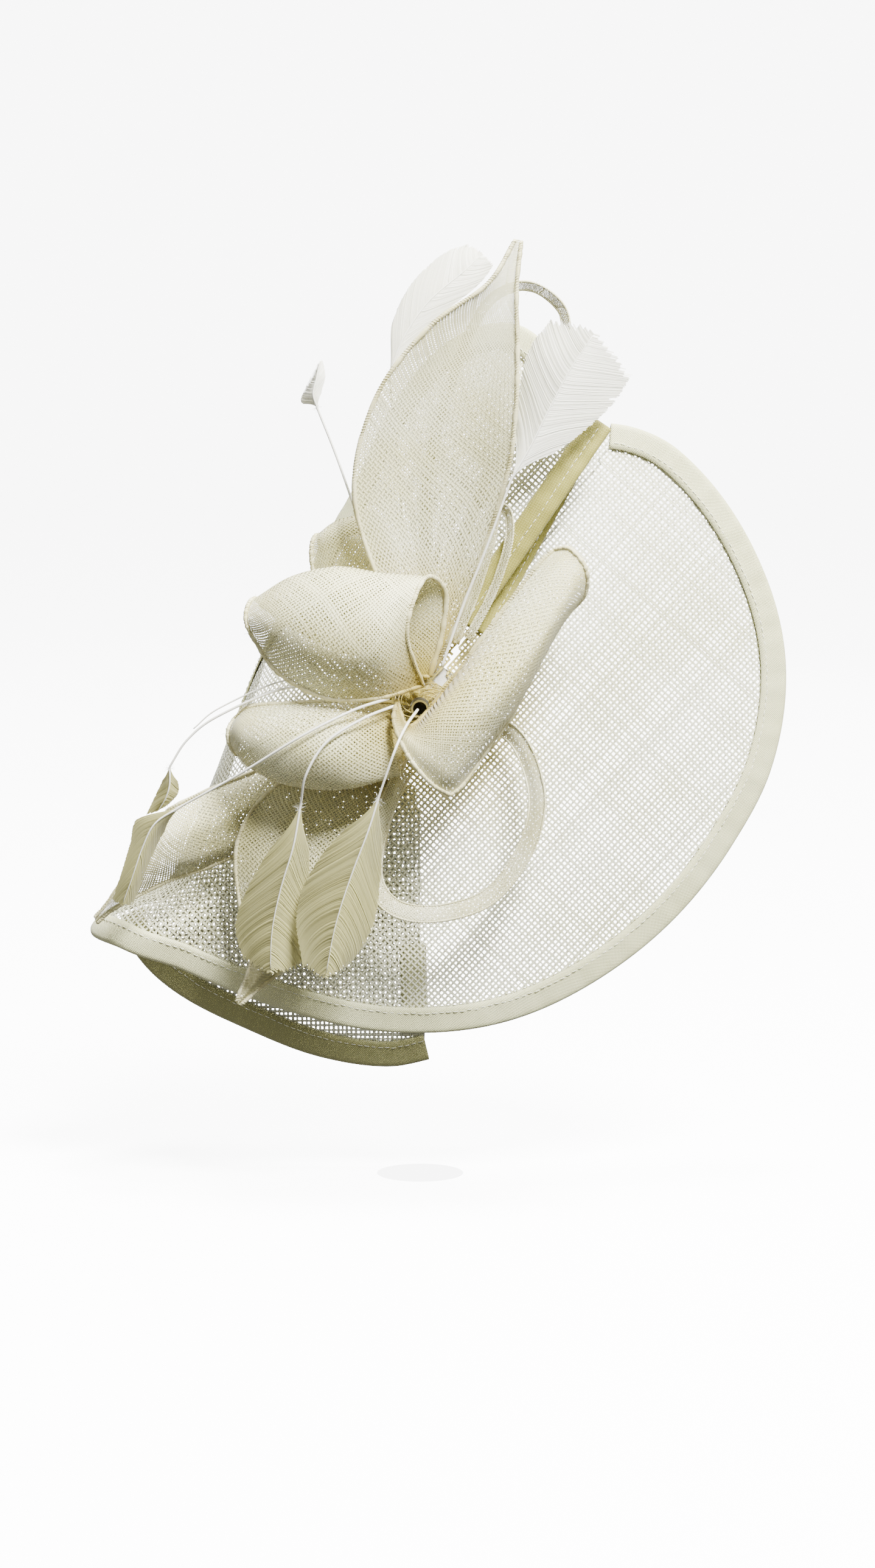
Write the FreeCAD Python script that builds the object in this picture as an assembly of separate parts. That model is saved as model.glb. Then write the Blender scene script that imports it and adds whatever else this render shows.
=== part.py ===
import FreeCAD, Part
import math
import os

# Fascinator headpiece, in millimetres. The origin is where the pad's back rests on the head.
# Until write() leans it back, x is the wearer-facing width, y points into the head, z is up.
os.makedirs("parts", exist_ok=True)
V = FreeCAD.Vector

LEAN = 8.0  # the whole brim leans back from upright, in degrees

# brim sheet
SHEET = 0.8
PAD_RADIUS = 22.0
PAD_THICK = 3.7
SEAT_GAP = 0.8
BRIM_Y = -(PAD_THICK + SEAT_GAP + SHEET / 2)
DOME = 0.0007
HOLE_RADIUS = 6.5
ROLL_START = 25.0
ROLL_RADIUS = 53.0
TIP_START = 60.0
TIP_RADIUS = 27.0
ROLL_AXIS = 62.0
LIFT = 27.0
SLIT_UPPER = 55.5
SLIT_LOWER = 421.0
# radius of the flat outline about the flower, by angle
RIM = [
    (50.0, 147), (55.5, 154), (66, 168), (76, 182.5), (88, 170), (98.6, 144), (109.5, 114),
    (118, 103), (132, 92), (145, 98), (160, 113), (175, 128), (190, 148), (200, 168),
    (209.5, 190), (219, 176), (228, 162), (245, 152), (265, 149), (285, 149), (305, 149),
    (322, 152), (337, 157), (350, 164), (367, 170), (381, 171), (405, 169), (413, 163),
    (421, 151),
]

# lower layer of the brim, hung behind the front one
UNDER_FROM = 214.0
UNDER_TO = 271.5
UNDER_INNER = 34.0
UNDER_DROP = 26.0
UNDER_RIM = [(205, 166), (214, 172), (224.7, 175), (241.5, 169), (253.7, 168), (265.2, 166.4), (271.5, 162.5), (276, 160)]

# bias binding, folded round an edge
BAND = 12.0
BAND_SLOT = 0.9
BAND_WALL = 0.6
WIRE_RADIUS = 0.55
WIRE_IN = 1.75
SHEET_IN = 3.0
CUT_IN = 1.8
SLIT_BAND_FROM = 44.0
SIDE_BAND_FROM = 108.0

# flower
PETAL = 0.7
LEAF = 0.7
VANE = 0.6
QUILL = 0.7
CORE_RADIUS = 4.0
CORE_FRONT = -20.0
DISC_RADIUS = 13.0
DISC_THICK = 2.0
DISC_BACK = BRIM_Y - SHEET / 2 - 2.0

# comb
COMB_WIDTH = 36.0
COMB_SPINE = 4.5
COMB_THICK = 2.4
COMB_Z = -11.0
TEETH = 12
TOOTH_LENGTH = 33.0
TOOTH = 1.3
TOOTH_LEAN = 7.0

# clip
CLIP_LENGTH = 46.0
CLIP_WIDTH = 9.0
CLIP_PLATE = 0.8
CLIP_Z = 9.0
PIN_X = 6.0
PIN_Y = 4.2
PIN_RADIUS = 0.9
EAR = 0.6
LEVER_WIDTH = 7.0
LEVER_TAIL = 20.0
FIT = 0.15

written = {}


def write(name, shape):
    if not shape.isValid() or shape.Volume <= 0 or len(shape.Solids) != 1:
        print("CHECK", name, shape.isValid(), round(shape.Volume, 2), len(shape.Solids))
    shape = shape.copy()
    shape.rotate(V(0, 0, 0), V(1, 0, 0), -LEAN)
    shape.exportStep("parts/" + name + ".step")
    written[name] = shape


def ease(t):
    t = min(max(t, 0.0), 1.0)
    return t * t * (3 - 2 * t)


def along(table, x):
    """Smooth value through a table of (x, value), with no overshoot past its ends."""
    n = len(table)
    i = 0
    while i < n - 2 and x > table[i + 1][0]:
        i += 1
    slopes = []
    for j in (i, i + 1):
        a, b = table[max(j - 1, 0)], table[min(j + 1, n - 1)]
        slopes.append((b[1] - a[1]) / (b[0] - a[0]))
    (x0, y0), (x1, y1) = table[i], table[i + 1]
    h = x1 - x0
    t = min(max((x - x0) / h, 0.0), 1.0)
    return (
        y0 * (1 + 2 * t) * (1 - t) ** 2
        + slopes[0] * h * t * (1 - t) ** 2
        + y1 * t * t * (3 - 2 * t)
        + slopes[1] * h * t * t * (t - 1)
    )


def curve(points, t):
    """Catmull-Rom point through hand-set points, t from 0 to 1."""
    n = len(points) - 1
    s = min(max(t, 0.0), 1.0) * n
    i = min(int(s), n - 1)
    f = s - i
    b, c = points[i], points[i + 1]
    a = points[i - 1] if i else b * 2 - c
    d = points[i + 2] if i + 2 <= n else c * 2 - b
    return (
        a * (-f + 2 * f * f - f ** 3)
        + b * (2 - 5 * f * f + 3 * f ** 3)
        + c * (f + 4 * f * f - 3 * f ** 3)
        + d * (f ** 3 - f * f)
    ) * 0.5


def lay(r, th):
    """Where the flat brim's point at radius r and angle th lies once it is shaped."""
    p = r * math.cos(math.radians(th - ROLL_AXIS - 90))
    q = r * math.cos(math.radians(th - ROLL_AXIS))
    far = ease((-q - 118) / 43)
    start = ROLL_START * (1 - far) + TIP_START * far
    bend = (ROLL_RADIUS + 0.1 * q) * (1 - far) + TIP_RADIUS * far
    y = BRIM_Y + DOME * r * r
    if p > start:
        a = (p - start) / bend
        p = start + bend * math.sin(a)
        y += bend * (1 - math.cos(a))
    near = ease((SLIT_UPPER + 39.5 - th) / 39.5)
    y -= near * (1.6 + LIFT * ease((r - 22) / 133))
    across, up = math.radians(ROLL_AXIS + 90), math.radians(ROLL_AXIS)
    return V(p * math.cos(across) + q * math.cos(up), y, p * math.sin(across) + q * math.sin(up))


def lay_under(r, th):
    p = lay(r, th)
    p.y += 1.4 + UNDER_DROP * ease((r - UNDER_INNER) / 125)
    return p


def surface_normal(place, r, th):
    d = 0.4
    a = place(r + d, th) - place(r - d, th)
    b = place(r, th + math.degrees(d / r)) - place(r, th - math.degrees(d / r))
    n = a.cross(b)
    n.normalize()
    return n


def inward(table, th, w):
    """Flat polar point a distance w in from the outline at angle th, square to it."""
    def flat(a):
        r = along(table, a)
        return r * math.cos(math.radians(a)), r * math.sin(math.radians(a))
    (x0, z0), (x1, z1), (x, z) = flat(th - 0.5), flat(th + 0.5), flat(th)
    k = math.hypot(x1 - x0, z1 - z0)
    x, z = x - (z1 - z0) / k * w, z + (x1 - x0) / k * w
    a = math.degrees(math.atan2(z, x))
    return math.hypot(x, z), a + 360 * round((th - a) / 360)


def spread(table, first, last, n):
    """n angles along an outline, closer together where it turns sharply."""
    steps = 1500
    marks = [first + (last - first) * i / steps for i in range(steps + 1)]
    flat = [V(along(table, a) * math.cos(math.radians(a)), 0, along(table, a) * math.sin(math.radians(a))) for a in marks]
    cost = [0.0, flat[1].distanceToPoint(flat[0])]
    for i in range(1, steps):
        before, after = flat[i] - flat[i - 1], flat[i + 1] - flat[i]
        cost.append(cost[-1] + after.Length + 30 * before.getAngle(after))
    picked, j = [], 0
    for k in range(n):
        want = cost[-1] * k / (n - 1)
        while j < steps - 1 and cost[j + 1] < want:
            j += 1
        f = (want - cost[j]) / (cost[j + 1] - cost[j])
        picked.append(marks[j] + (marks[j + 1] - marks[j]) * min(f, 1.0))
    return picked


def grid_face(grid):
    s = Part.BSplineSurface()
    s.interpolate(grid)
    return s


def side(curve_a, curve_b):
    return Part.makeRuledSurface(curve_a.toShape(), curve_b.toShape(), 1)


def close(faces):
    shell = Part.Shell(faces)
    if not shell.isClosed():
        shell.sewShape(0.01)
    solid = Part.Solid(shell)
    if solid.Volume < 0:
        shell.reverse()
        solid = Part.Solid(shell)
    return solid


def thicken(grid, thickness):
    """A thin closed solid on both sides of a grid of points."""
    m, n = len(grid), len(grid[0])
    front, back = [], []
    for i in range(m):
        f_row, b_row = [], []
        for j in range(n):
            a = grid[min(i + 1, m - 1)][j] - grid[max(i - 1, 0)][j]
            b = grid[i][min(j + 1, n - 1)] - grid[i][max(j - 1, 0)]
            k = a.cross(b)
            k.normalize()
            f_row.append(grid[i][j] + k * (thickness / 2))
            b_row.append(grid[i][j] - k * (thickness / 2))
        front.append(f_row)
        back.append(b_row)
    f, b = grid_face(front), grid_face(back)
    u0, u1, v0, v1 = f.bounds()
    w0, w1, x0, x1 = b.bounds()
    return close(
        [
            f.toShape(),
            b.toShape(),
            side(f.uIso(u0), b.uIso(w0)),
            side(f.uIso(u1), b.uIso(w1)),
            side(f.vIso(v0), b.vIso(x0)),
            side(f.vIso(v1), b.vIso(x1)),
        ]
    )


def rail(points):
    c = Part.BSplineCurve()
    c.interpolate(points)
    return c


def lofted(outer, inner):
    """A solid between two open bundles of rails, paired point by point, such as a folded band."""
    faces = []
    for rails in (outer, inner):
        faces += [side(rails[k], rails[k + 1]) for k in range(len(rails) - 1)]
    faces += [side(outer[0], inner[0]), side(outer[-1], inner[-1])]
    for end in (0, 1):
        def tip(c):
            return c.value(c.FirstParameter if end == 0 else c.LastParameter)
        for k in range(len(outer) - 1):
            a = Part.LineSegment(tip(outer[k]), tip(outer[k + 1]))
            b = Part.LineSegment(tip(inner[k]), tip(inner[k + 1]))
            faces.append(side(a, b))
    return close(faces)


def binding(stations):
    """Folded tape. Each station gives, for a distance in from the edge, a point and a normal."""
    a, g = BAND_SLOT + BAND_WALL, BAND_SLOT
    half = [BAND, BAND * 0.7, BAND * 0.42, 2.2, 0.6]
    ws = half + [0.0] + half[::-1]
    outs = [a, a, a, a, 0.8 * a, 0.0, -0.8 * a, -a, -a, -a, -a]
    half[-1] = 1.05
    wi = half + [1.0] + half[::-1]
    ins = [g, g, g, g, g, 0.0, -g, -g, -g, -g, -g]
    outer, inner = [], []
    for depths, heights, rails in ((ws, outs, outer), (wi, ins, inner)):
        for w, h in zip(depths, heights):
            points = []
            for station in stations:
                p, n = station(w)
                points.append(p + n * h)
            rails.append(rail(points))
    return lofted(outer, inner)


def rod(points, r0, r1, steps=16):
    """A tapering six-sided rod along a smooth line through hand-set points."""
    line = [curve(points, i / steps) for i in range(steps + 1)]
    rails = [[] for _ in range(6)]
    ref = V(0, 1, 0)
    for i, p in enumerate(line):
        t = line[min(i + 1, steps)] - line[max(i - 1, 0)]
        t.normalize()
        a = ref - t * ref.dot(t)
        if a.Length < 0.2:
            a = V(0, 0, 1) - t * t.z
        a.normalize()
        ref = a
        b = t.cross(a)
        r = r0 + (r1 - r0) * i / steps
        for k in range(6):
            f = math.radians(60 * k)
            rails[k].append(p + a * (r * math.cos(f)) + b * (r * math.sin(f)))
    curves = [rail(points_k) for points_k in rails]
    faces = [side(curves[k], curves[(k + 1) % 6]) for k in range(6)]
    for end in (0, -1):
        corners = [rails[k][end] for k in range(6)]
        faces.append(Part.Face(Part.makePolygon(corners + corners[:1])))
    return close(faces)


def patch(ribs, m, n):
    """Grid of points on the sheet that runs through hand-set ribs."""
    rows = [[V(*p) for p in rib] for rib in ribs]
    grid = []
    for i in range(m):
        s = i / (m - 1)
        across = [curve([row[k] for row in rows], s) for k in range(len(rows[0]))]
        grid.append([curve(across, j / (n - 1)) for j in range(n)])
    return grid


def strip(points, width, tilt, m):
    """Grid for a folded strip along a line; tilt turns its face from the front, in degrees."""
    line = [curve([V(*p) for p in points], i / (m - 1)) for i in range(m)]
    grid = []
    for i, p in enumerate(line):
        t = line[min(i + 1, m - 1)] - line[max(i - 1, 0)]
        side_way = V(t.z, 0, -t.x)
        side_way.normalize()
        way = side_way * math.cos(math.radians(tilt)) + V(0, math.sin(math.radians(tilt)), 0)
        grid.append([p + way * (width * k / 2) for k in (-1, 0, 1)])
    return grid


# ---- the brim ----

def sheet_grid(place, table, angles, inner, cut_first, cut_last, m):
    """Grid over a sheet whose outer edge follows the outline; a cut edge is trimmed inside its binding."""
    grid = [[] for _ in range(m)]
    for base in angles:
        edge_r, edge_a = inward(table, base, SHEET_IN)
        for i in range(m):
            s = i / (m - 1)
            r = inner + (edge_r - inner) * s
            trim = math.degrees(CUT_IN / r)
            a = base + (edge_a - base) * s
            a += trim * cut_first * max(0.0, 1 - (base - angles[0]) / 35)
            a -= trim * cut_last * max(0.0, 1 - (angles[-1] - base) / 35)
            grid[i].append(place(r, a))
    return grid


brim_angles = spread(RIM, SLIT_UPPER, SLIT_LOWER, 110)
write("brim_sheet", thicken(sheet_grid(lay, RIM, brim_angles, HOLE_RADIUS, 1, 1, 30), SHEET))


def rim_station(place, table, th):
    def at(w):
        r, a = inward(table, th, w)
        return place(r, a), surface_normal(place, r, a)
    return at


def ray_station(place, r, th, turn):
    """A station on a straight cut at angle th; turn is +1 where the sheet lies at larger angles."""
    def at(w):
        a = th + turn * math.degrees(math.atan2(w, r))
        far = math.hypot(r, w)
        return place(far, a), surface_normal(place, far, a)
    return at


def spaced(a, b, n):
    return [a + (b - a) * i / (n - 1) for i in range(n)]


clear_upper = math.degrees((BAND + 0.4) / along(RIM, SLIT_UPPER))
clear_lower = math.degrees((BAND + 0.4) / along(RIM, SLIT_LOWER))
rim_angles = spread(RIM, SLIT_UPPER + clear_upper, SLIT_LOWER - clear_lower, 110)
write("rim_binding", binding([rim_station(lay, RIM, a) for a in rim_angles]))


def wire(place, table, angles):
    rails = [[] for _ in range(6)]
    ends = []
    for a in angles:
        r, th = inward(table, a, WIRE_IN)
        p, n = place(r, th), surface_normal(place, r, th)
        r2, th2 = inward(table, a, WIRE_IN + 1)
        out = p - place(r2, th2)
        out.normalize()
        for k in range(6):
            f = math.radians(60 * k)
            rails[k].append(p + n * (WIRE_RADIUS * math.cos(f)) + out * (WIRE_RADIUS * math.sin(f)))
    curves = [rail(points_k) for points_k in rails]
    faces = [side(curves[k], curves[(k + 1) % 6]) for k in range(6)]
    for end in (0, -1):
        corners = [rails[k][end] for k in range(6)]
        middle = corners[0]
        for k in range(1, 5):
            faces.append(Part.Face(Part.makePolygon([middle, corners[k], corners[k + 1], middle])))
    return close(faces)


write("rim_wire", wire(lay, RIM, rim_angles))

upper_rays = spaced(SLIT_BAND_FROM, along(RIM, SLIT_UPPER), 16)
write("slit_binding_upper", binding([ray_station(lay, r, SLIT_UPPER, 1) for r in upper_rays]))
lower_rays = spaced(SLIT_BAND_FROM, along(RIM, SLIT_LOWER), 16)
write("slit_binding_lower", binding([ray_station(lay, r, SLIT_LOWER, -1) for r in lower_rays]))


under_all = spread(UNDER_RIM, UNDER_FROM, UNDER_TO, 34)
write("under_sheet", thicken(sheet_grid(lay_under, UNDER_RIM, under_all, UNDER_INNER, 0, 1, 24), SHEET))
under_angles = spread(UNDER_RIM, UNDER_FROM, UNDER_TO, 34)
write("under_rim_binding", binding([rim_station(lay_under, UNDER_RIM, a) for a in under_angles]))
under_rays = spaced(SIDE_BAND_FROM, along(UNDER_RIM, UNDER_TO) - BAND - 2.6, 9)
write("under_side_binding", binding([ray_station(lay_under, r, UNDER_TO, -1) for r in under_rays]))


# ---- what holds it on the head ----

def ycyl(r, y0, y1, x=0.0, z=0.0):
    return Part.makeCylinder(r, y1 - y0, V(x, y0, z), V(0, 1, 0))


pad = ycyl(PAD_RADIUS, -PAD_THICK, 0)
pad = pad.makeFillet(0.8, [e for e in pad.Edges if e.Closed and abs(e.BoundBox.YMax) < 0.01])
write("base_pad", pad)

spine = Part.makeBox(COMB_WIDTH, COMB_THICK, COMB_SPINE, V(-COMB_WIDTH / 2, 0, COMB_Z - COMB_SPINE / 2))
spine = spine.makeFillet(1.0, [e for e in spine.Edges if e.BoundBox.XLength < 0.01 and e.BoundBox.YLength > 1])
comb = spine
for i in range(TEETH):
    x = (i - (TEETH - 1) / 2) * (COMB_WIDTH - 3) / (TEETH - 1)
    tooth = Part.makeBox(TOOTH, TOOTH, TOOTH_LENGTH, V(x - TOOTH / 2, -TOOTH / 2, -TOOTH_LENGTH))
    tooth = tooth.makeChamfer(0.4, [e for e in tooth.Edges if abs(e.BoundBox.ZMax + TOOTH_LENGTH) < 0.01])
    tooth.rotate(V(x, 0, 0), V(1, 0, 0), TOOTH_LEAN)
    tooth.translate(V(0, COMB_THICK / 2, COMB_Z - COMB_SPINE / 2 + 1))
    comb = comb.fuse(tooth)
write("comb", comb.removeSplitter())

CLIP_LEFT = -CLIP_LENGTH / 2


def zcyl(r, x, y, z0, z1):
    return Part.makeCylinder(r, z1 - z0, V(x, y, z0))


base = Part.makeBox(CLIP_LENGTH, CLIP_PLATE, CLIP_WIDTH, V(CLIP_LEFT, 0, CLIP_Z - CLIP_WIDTH / 2))
slot = Part.makeBox(CLIP_LENGTH * 0.4, CLIP_PLATE, 2.4, V(CLIP_LEFT, 0, CLIP_Z - 1.2))
base = base.cut(slot)
for way in (-1, 1):
    z0 = CLIP_Z + way * (CLIP_WIDTH / 2 - EAR / 2) - EAR / 2
    ear = Part.makeBox(6, PIN_Y + 1.8, EAR, V(PIN_X - 3, 0, z0))
    ear = ear.makeFillet(1.7, [e for e in ear.Edges if e.BoundBox.ZLength > EAR * 0.9 and e.BoundBox.YMin > 1])
    base = base.fuse(ear)
base = base.cut(zcyl(PIN_RADIUS, PIN_X, PIN_Y, CLIP_Z - CLIP_WIDTH, CLIP_Z + CLIP_WIDTH))
write("clip_base", base.removeSplitter())
write("clip_pin", zcyl(PIN_RADIUS, PIN_X, PIN_Y, CLIP_Z - CLIP_WIDTH / 2 - 0.5, CLIP_Z + CLIP_WIDTH / 2 + 0.5))

# the lever: two jaw fingers in front of the pin, a thumb plate behind it
BARREL = PIN_RADIUS + FIT + 1.15
jaw_x, jaw_y = CLIP_LEFT + 0.5, CLIP_PLATE + 1.3
top_y = PIN_Y + BARREL - 0.2
tail_x, tail_y = PIN_X + LEVER_TAIL * 0.92, top_y + LEVER_TAIL * 0.27


def plate(points, z0, z1):
    face = Part.Face(Part.makePolygon([V(x, y, z0) for x, y in points + points[:1]]))
    return face.extrude(V(0, 0, z1 - z0))


profile = [
    (jaw_x, jaw_y),
    (PIN_X - 2, top_y),
    (PIN_X + 2, top_y),
    (tail_x, tail_y),
    (tail_x, tail_y + CLIP_PLATE),
    (PIN_X + 1.8, top_y + CLIP_PLATE),
    (PIN_X - 2.2, top_y + CLIP_PLATE),
    (jaw_x, jaw_y + CLIP_PLATE),
]
z0, z1 = CLIP_Z - LEVER_WIDTH / 2, CLIP_Z + LEVER_WIDTH / 2
lever = plate(profile, z0, z1)
lever = lever.cut(Part.makeBox(CLIP_LENGTH * 0.4, 12, 2.4, V(CLIP_LEFT, 0, CLIP_Z - 1.2)))
for za, zb in ((z0, z0 + 2), (z1 - 2, z1)):
    lever = lever.fuse(zcyl(BARREL, PIN_X, PIN_Y, za, zb))
for k in range(6):
    x = jaw_x + k * 1.6
    tip_y = CLIP_PLATE + 0.15
    root = jaw_y + (top_y - jaw_y) * (x + 1.6 - jaw_x) / (PIN_X - 2 - jaw_x) + 0.1
    tooth = [(x, root), (x, tip_y), (x + 1.6, root)]
    for za, zb in ((z0, CLIP_Z - 1.2), (CLIP_Z + 1.2, z1)):
        lever = lever.fuse(plate(tooth, za, zb))
lever = lever.cut(zcyl(PIN_RADIUS + FIT, PIN_X, PIN_Y, z0 - 1, z1 + 1))
write("clip_lever", lever.removeSplitter())

# the spring's coil and its leg on the base; the arm that pushes the lever moves with it
coil_z0, coil_z1 = CLIP_Z - 1.3, CLIP_Z + 1.3
coil = zcyl(1.75, PIN_X, PIN_Y, coil_z0, coil_z1).cut(zcyl(1.15, PIN_X, PIN_Y, coil_z0, coil_z1))
leg = plate([(PIN_X + 0.3, PIN_Y - 1.7), (PIN_X + 12, CLIP_PLATE + 0.05), (PIN_X + 12, CLIP_PLATE + 0.6),
             (PIN_X + 0.9, PIN_Y - 1.2)], coil_z0, coil_z0 + 0.7)
leg = leg.cut(zcyl(1.15, PIN_X, PIN_Y, coil_z0, coil_z1))
write("clip_spring", coil.fuse(leg).removeSplitter())
slope = (tail_y - top_y) / (tail_x - PIN_X - 2)
arm = [(PIN_X + 3.2, top_y + slope * 1.2 - 0.7), (PIN_X + 12, top_y + slope * 10 - 0.7),
       (PIN_X + 12, top_y + slope * 10 - 0.05), (PIN_X + 3.2, top_y + slope * 1.2 - 0.05)]
write("clip_spring_arm", plate(arm, coil_z1 - 0.7, coil_z1))


# ---- the flower ----

# Every point below is given for a brim that lies at this height; it moves with the brim.
FLOWER_BRIM = -4.9
FLOWER_LIFT = BRIM_Y - FLOWER_BRIM


def lifted(points):
    return [(x, y + FLOWER_LIFT, z) for x, y, z in points]


disc = ycyl(DISC_RADIUS, DISC_BACK - DISC_THICK, DISC_BACK)
core_hole = ycyl(CORE_RADIUS + 0.2, DISC_BACK - 5, DISC_BACK + 5)
write("flower_disc", disc.cut(core_hole))
core = ycyl(CORE_RADIUS, CORE_FRONT, -PAD_THICK - 0.2)
core = core.cut(ycyl(CORE_RADIUS - 0.9, CORE_FRONT, -PAD_THICK - 4))
write("flower_core", core)

PETALS = {
    "petal_upper_left": [
        [(-76.4, -24, 33), (-79, -26, 40), (-78, -23, 47), (-75, -18, 50), (-71, -15, 47), (-62, -14, 40), (-44, -14, 30)],
        [(-64, -30, 16), (-64, -40, 34), (-62, -38, 50), (-58, -27, 60), (-53, -18, 54), (-42, -15, 40), (-22, -15, 22)],
        [(-42, -34, 4.5), (-42, -50, 26), (-40, -48, 50), (-37, -33, 64), (-33, -20, 54), (-26, -16, 36), (-13, -16, 18)],
        [(-19, -34, 4.5), (-20, -52, 24), (-20, -50, 46), (-17, -36, 61), (-14, -23, 52), (-10, -18, 34), (-5, -16.5, 15)],
        [(1.5, -23, 10.5), (-5.6, -44, 32), (-2, -44, 50), (4, -34, 59.5), (11.5, -25, 53), (10, -19, 34), (4.5, -17, 14.5)],
    ],
    "petal_lower_left": [
        [(-84.5, -16, -4.5), (-87, -20, -9), (-87, -20, -15), (-83.5, -16, -20.5), (-79, -11, -19), (-73, -8, -15), (-63, -6, -10)],
        [(-77, -22, 1), (-80, -30, -6), (-80, -32, -16), (-77, -26, -27), (-73, -16, -25), (-66, -10, -18), (-55, -8, -11)],
        [(-60, -26, 2.5), (-60, -40, -6), (-60, -43, -20), (-59, -34, -34.5), (-57, -20, -30), (-50, -13, -20), (-39, -11, -10)],
        [(-36, -26, 3.6), (-36, -42, -8), (-36, -46, -24), (-35, -36, -36.5), (-34, -22, -31), (-30, -15, -20), (-23, -13.5, -9)],
        [(-13, -20, 3), (-13, -27, -8), (-11, -30, -20), (-9, -27, -30), (-8, -21, -27), (-8, -17, -18), (-9, -14.5, -7.5)],
    ],
    "petal_right": [
        [(-10.5, -25, 4), (-11.5, -37, -7), (-5, -44, -22), (5, -45, -34), (13.9, -40, -39.4)],
        [(-5, -31, -8), (-2, -42, -13), (6, -49, -21), (15, -47, -29), (20, -37, -34)],
        [(7, -21, 3), (10, -42, 1), (19, -52, -8), (27, -46, -17), (29, -32, -21)],
        [(30.6, -26, 35), (36, -44, 27), (43, -50, 15), (46.5, -40, 6), (44, -25, 1)],
        [(52.8, -30, 64), (59, -42, 56), (64, -44, 45), (63, -34, 35), (57, -22, 31)],
        [(61, -30, 72), (68, -36, 72), (75, -38, 63), (75, -32, 52), (67, -23, 43)],
    ],
    "petal_back": [
        [(-44, 1, 50), (-49, -5, 64), (-49.5, -7, 75), (-47, -3, 79.5), (-45, 4, 72)],
        [(-32, -4, 40), (-38, -8, 60), (-41, -11, 78), (-37, -7, 86.5), (-34, 3, 80)],
        [(-17, -8.5, 30), (-22, -9, 54), (-25, -11, 76), (-24, -7, 87), (-22, 1, 80)],
        [(-8, -9, 20), (-11, -9.5, 44), (-13, -10, 64), (-13, -7.5, 74), (-12, -3, 68)],
    ],
}
for name, ribs in PETALS.items():
    write(name, thicken(patch([lifted(rib) for rib in ribs], 4 * len(ribs) - 3, 3 * len(ribs[0]) - 2), PETAL))

LEAVES = {
    "leaf_top": [
        [(-2, -12.5, 14.5), (0, -12.5, 15), (2, -12.5, 15.5), (4, -12.5, 16), (6, -12.5, 16.5)],
        [(-14, -16, 45.8), (-5, -14.5, 47), (3, -14, 48), (11, -14.5, 47), (19.5, -16.5, 45.8)],
        [(-29.7, -28, 96), (-12, -22, 97), (4, -21, 98), (22, -22, 99.5), (38.5, -29, 101)],
        [(-20, -34, 140), (-4, -27, 139), (12, -25, 138), (28, -27, 136), (43.5, -34, 134)],
        [(4, -34, 172), (15, -29, 170), (25, -27, 168), (35, -29, 166), (44.3, -33, 164)],
        [(30.6, -31, 192), (35, -29, 191.5), (38, -28, 191), (41, -29, 190.5), (44, -30, 190)],
        [(43.4, -27, 212.5), (44.1, -26.4, 212.6), (44.8, -26, 212.6), (45.5, -25.6, 212.4), (46.2, -25, 212)],
    ],
    "leaf_lower_left": [
        [(-16, -9.6, -2), (-15.5, -9.6, -3.5), (-15, -9.6, -5), (-14.5, -9.6, -6.5), (-14, -9.6, -8)],
        [(-66, -1, -24), (-64, -5, -31), (-61, -6, -38), (-57, -6, -45), (-53, -5.5, -50)],
        [(-108, -2, -42), (-107, -8, -50), (-104, -9, -58), (-99, -6, -66), (-94, 2, -71)],
        [(-120, 2, -52), (-122, -6, -60), (-122, -8, -68), (-120, -5, -74), (-116, 3, -79)],
        [(-141, 2, -85), (-141, 0, -86.5), (-140.5, -1, -88), (-140, 0, -89.5), (-139.5, 2, -91)],
        [(-149.5, 4, -95.5), (-149.3, 3.6, -96.2), (-149, 3.4, -97), (-148.7, 3.6, -97.6), (-148.4, 4, -98.2)],
    ],
    "leaf_lower": [
        [(-12, -11, -10.5), (-9.5, -11, -11.5), (-7, -11, -12.5), (-4.5, -11, -13), (-2, -11, -13.5)],
        [(-64, -12, -34), (-50, -13, -36), (-36, -12.5, -37), (-24, -11.5, -38), (-12, -11.5, -38)],
        [(-83, -12.5, -60), (-66, -15.5, -62), (-50, -15.5, -64), (-32, -13, -66), (-17, -9, -66)],
        [(-82, -7, -93), (-68, -11.5, -95), (-54, -12, -97), (-40, -10, -98), (-28, -5, -98)],
        [(-77, -7, -113), (-73.5, -9, -115.5), (-70, -10, -117.5), (-66, -9, -119), (-62, -7, -119)],
        [(-84, -8, -133.8), (-83.6, -8.4, -134.2), (-83.2, -8.6, -134.6), (-82.6, -8.8, -134.9), (-82, -9, -135.2)],
    ],
}
for name, ribs in LEAVES.items():
    write(name, thicken(patch([lifted(rib) for rib in ribs], 4 * len(ribs) - 3, 9), LEAF))

LOOPS = {
    "loop_right": (8.0, 25, [
        (18, -13, -5), (34, -13, -7), (45, -16, -15), (52, -20, -32), (52.8, -22, -48.6), (45.8, -22, -68),
        (30.6, -22, -86), (8.3, -22, -93), (-10, -21, -91), (-20, -20, -80), (-20, -18, -62), (-14, -16, -42), (-7, -14.6, -28),
    ]),
    "loop_top": (5.0, 45, [
        (4, -9.6, 26), (2, -11, 66), (4, -15, 108), (14, -18, 148), (29, -20, 182), (44.4, -20, 192), (57, -19.5, 189),
        (66, -19, 178), (64, -19, 158), (51, -19.5, 136), (34, -18, 112), (20, -13.5, 78), (12, -10.6, 46), (9, -9.4, 28),
    ]),
    "loop_small": (4.0, 40, [
        (16, -11, 30), (25, -14, 52), (32, -18, 74), (34.6, -19.5, 87), (37.6, -20, 91.5), (40.6, -19.5, 87),
        (40, -18.5, 74), (33, -15.5, 53), (22, -12, 32),
    ]),
}
for name, (width, tilt, points) in LOOPS.items():
    write(name, thicken(strip(lifted(points), width, tilt, 4 * len(points)), PETAL))

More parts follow.
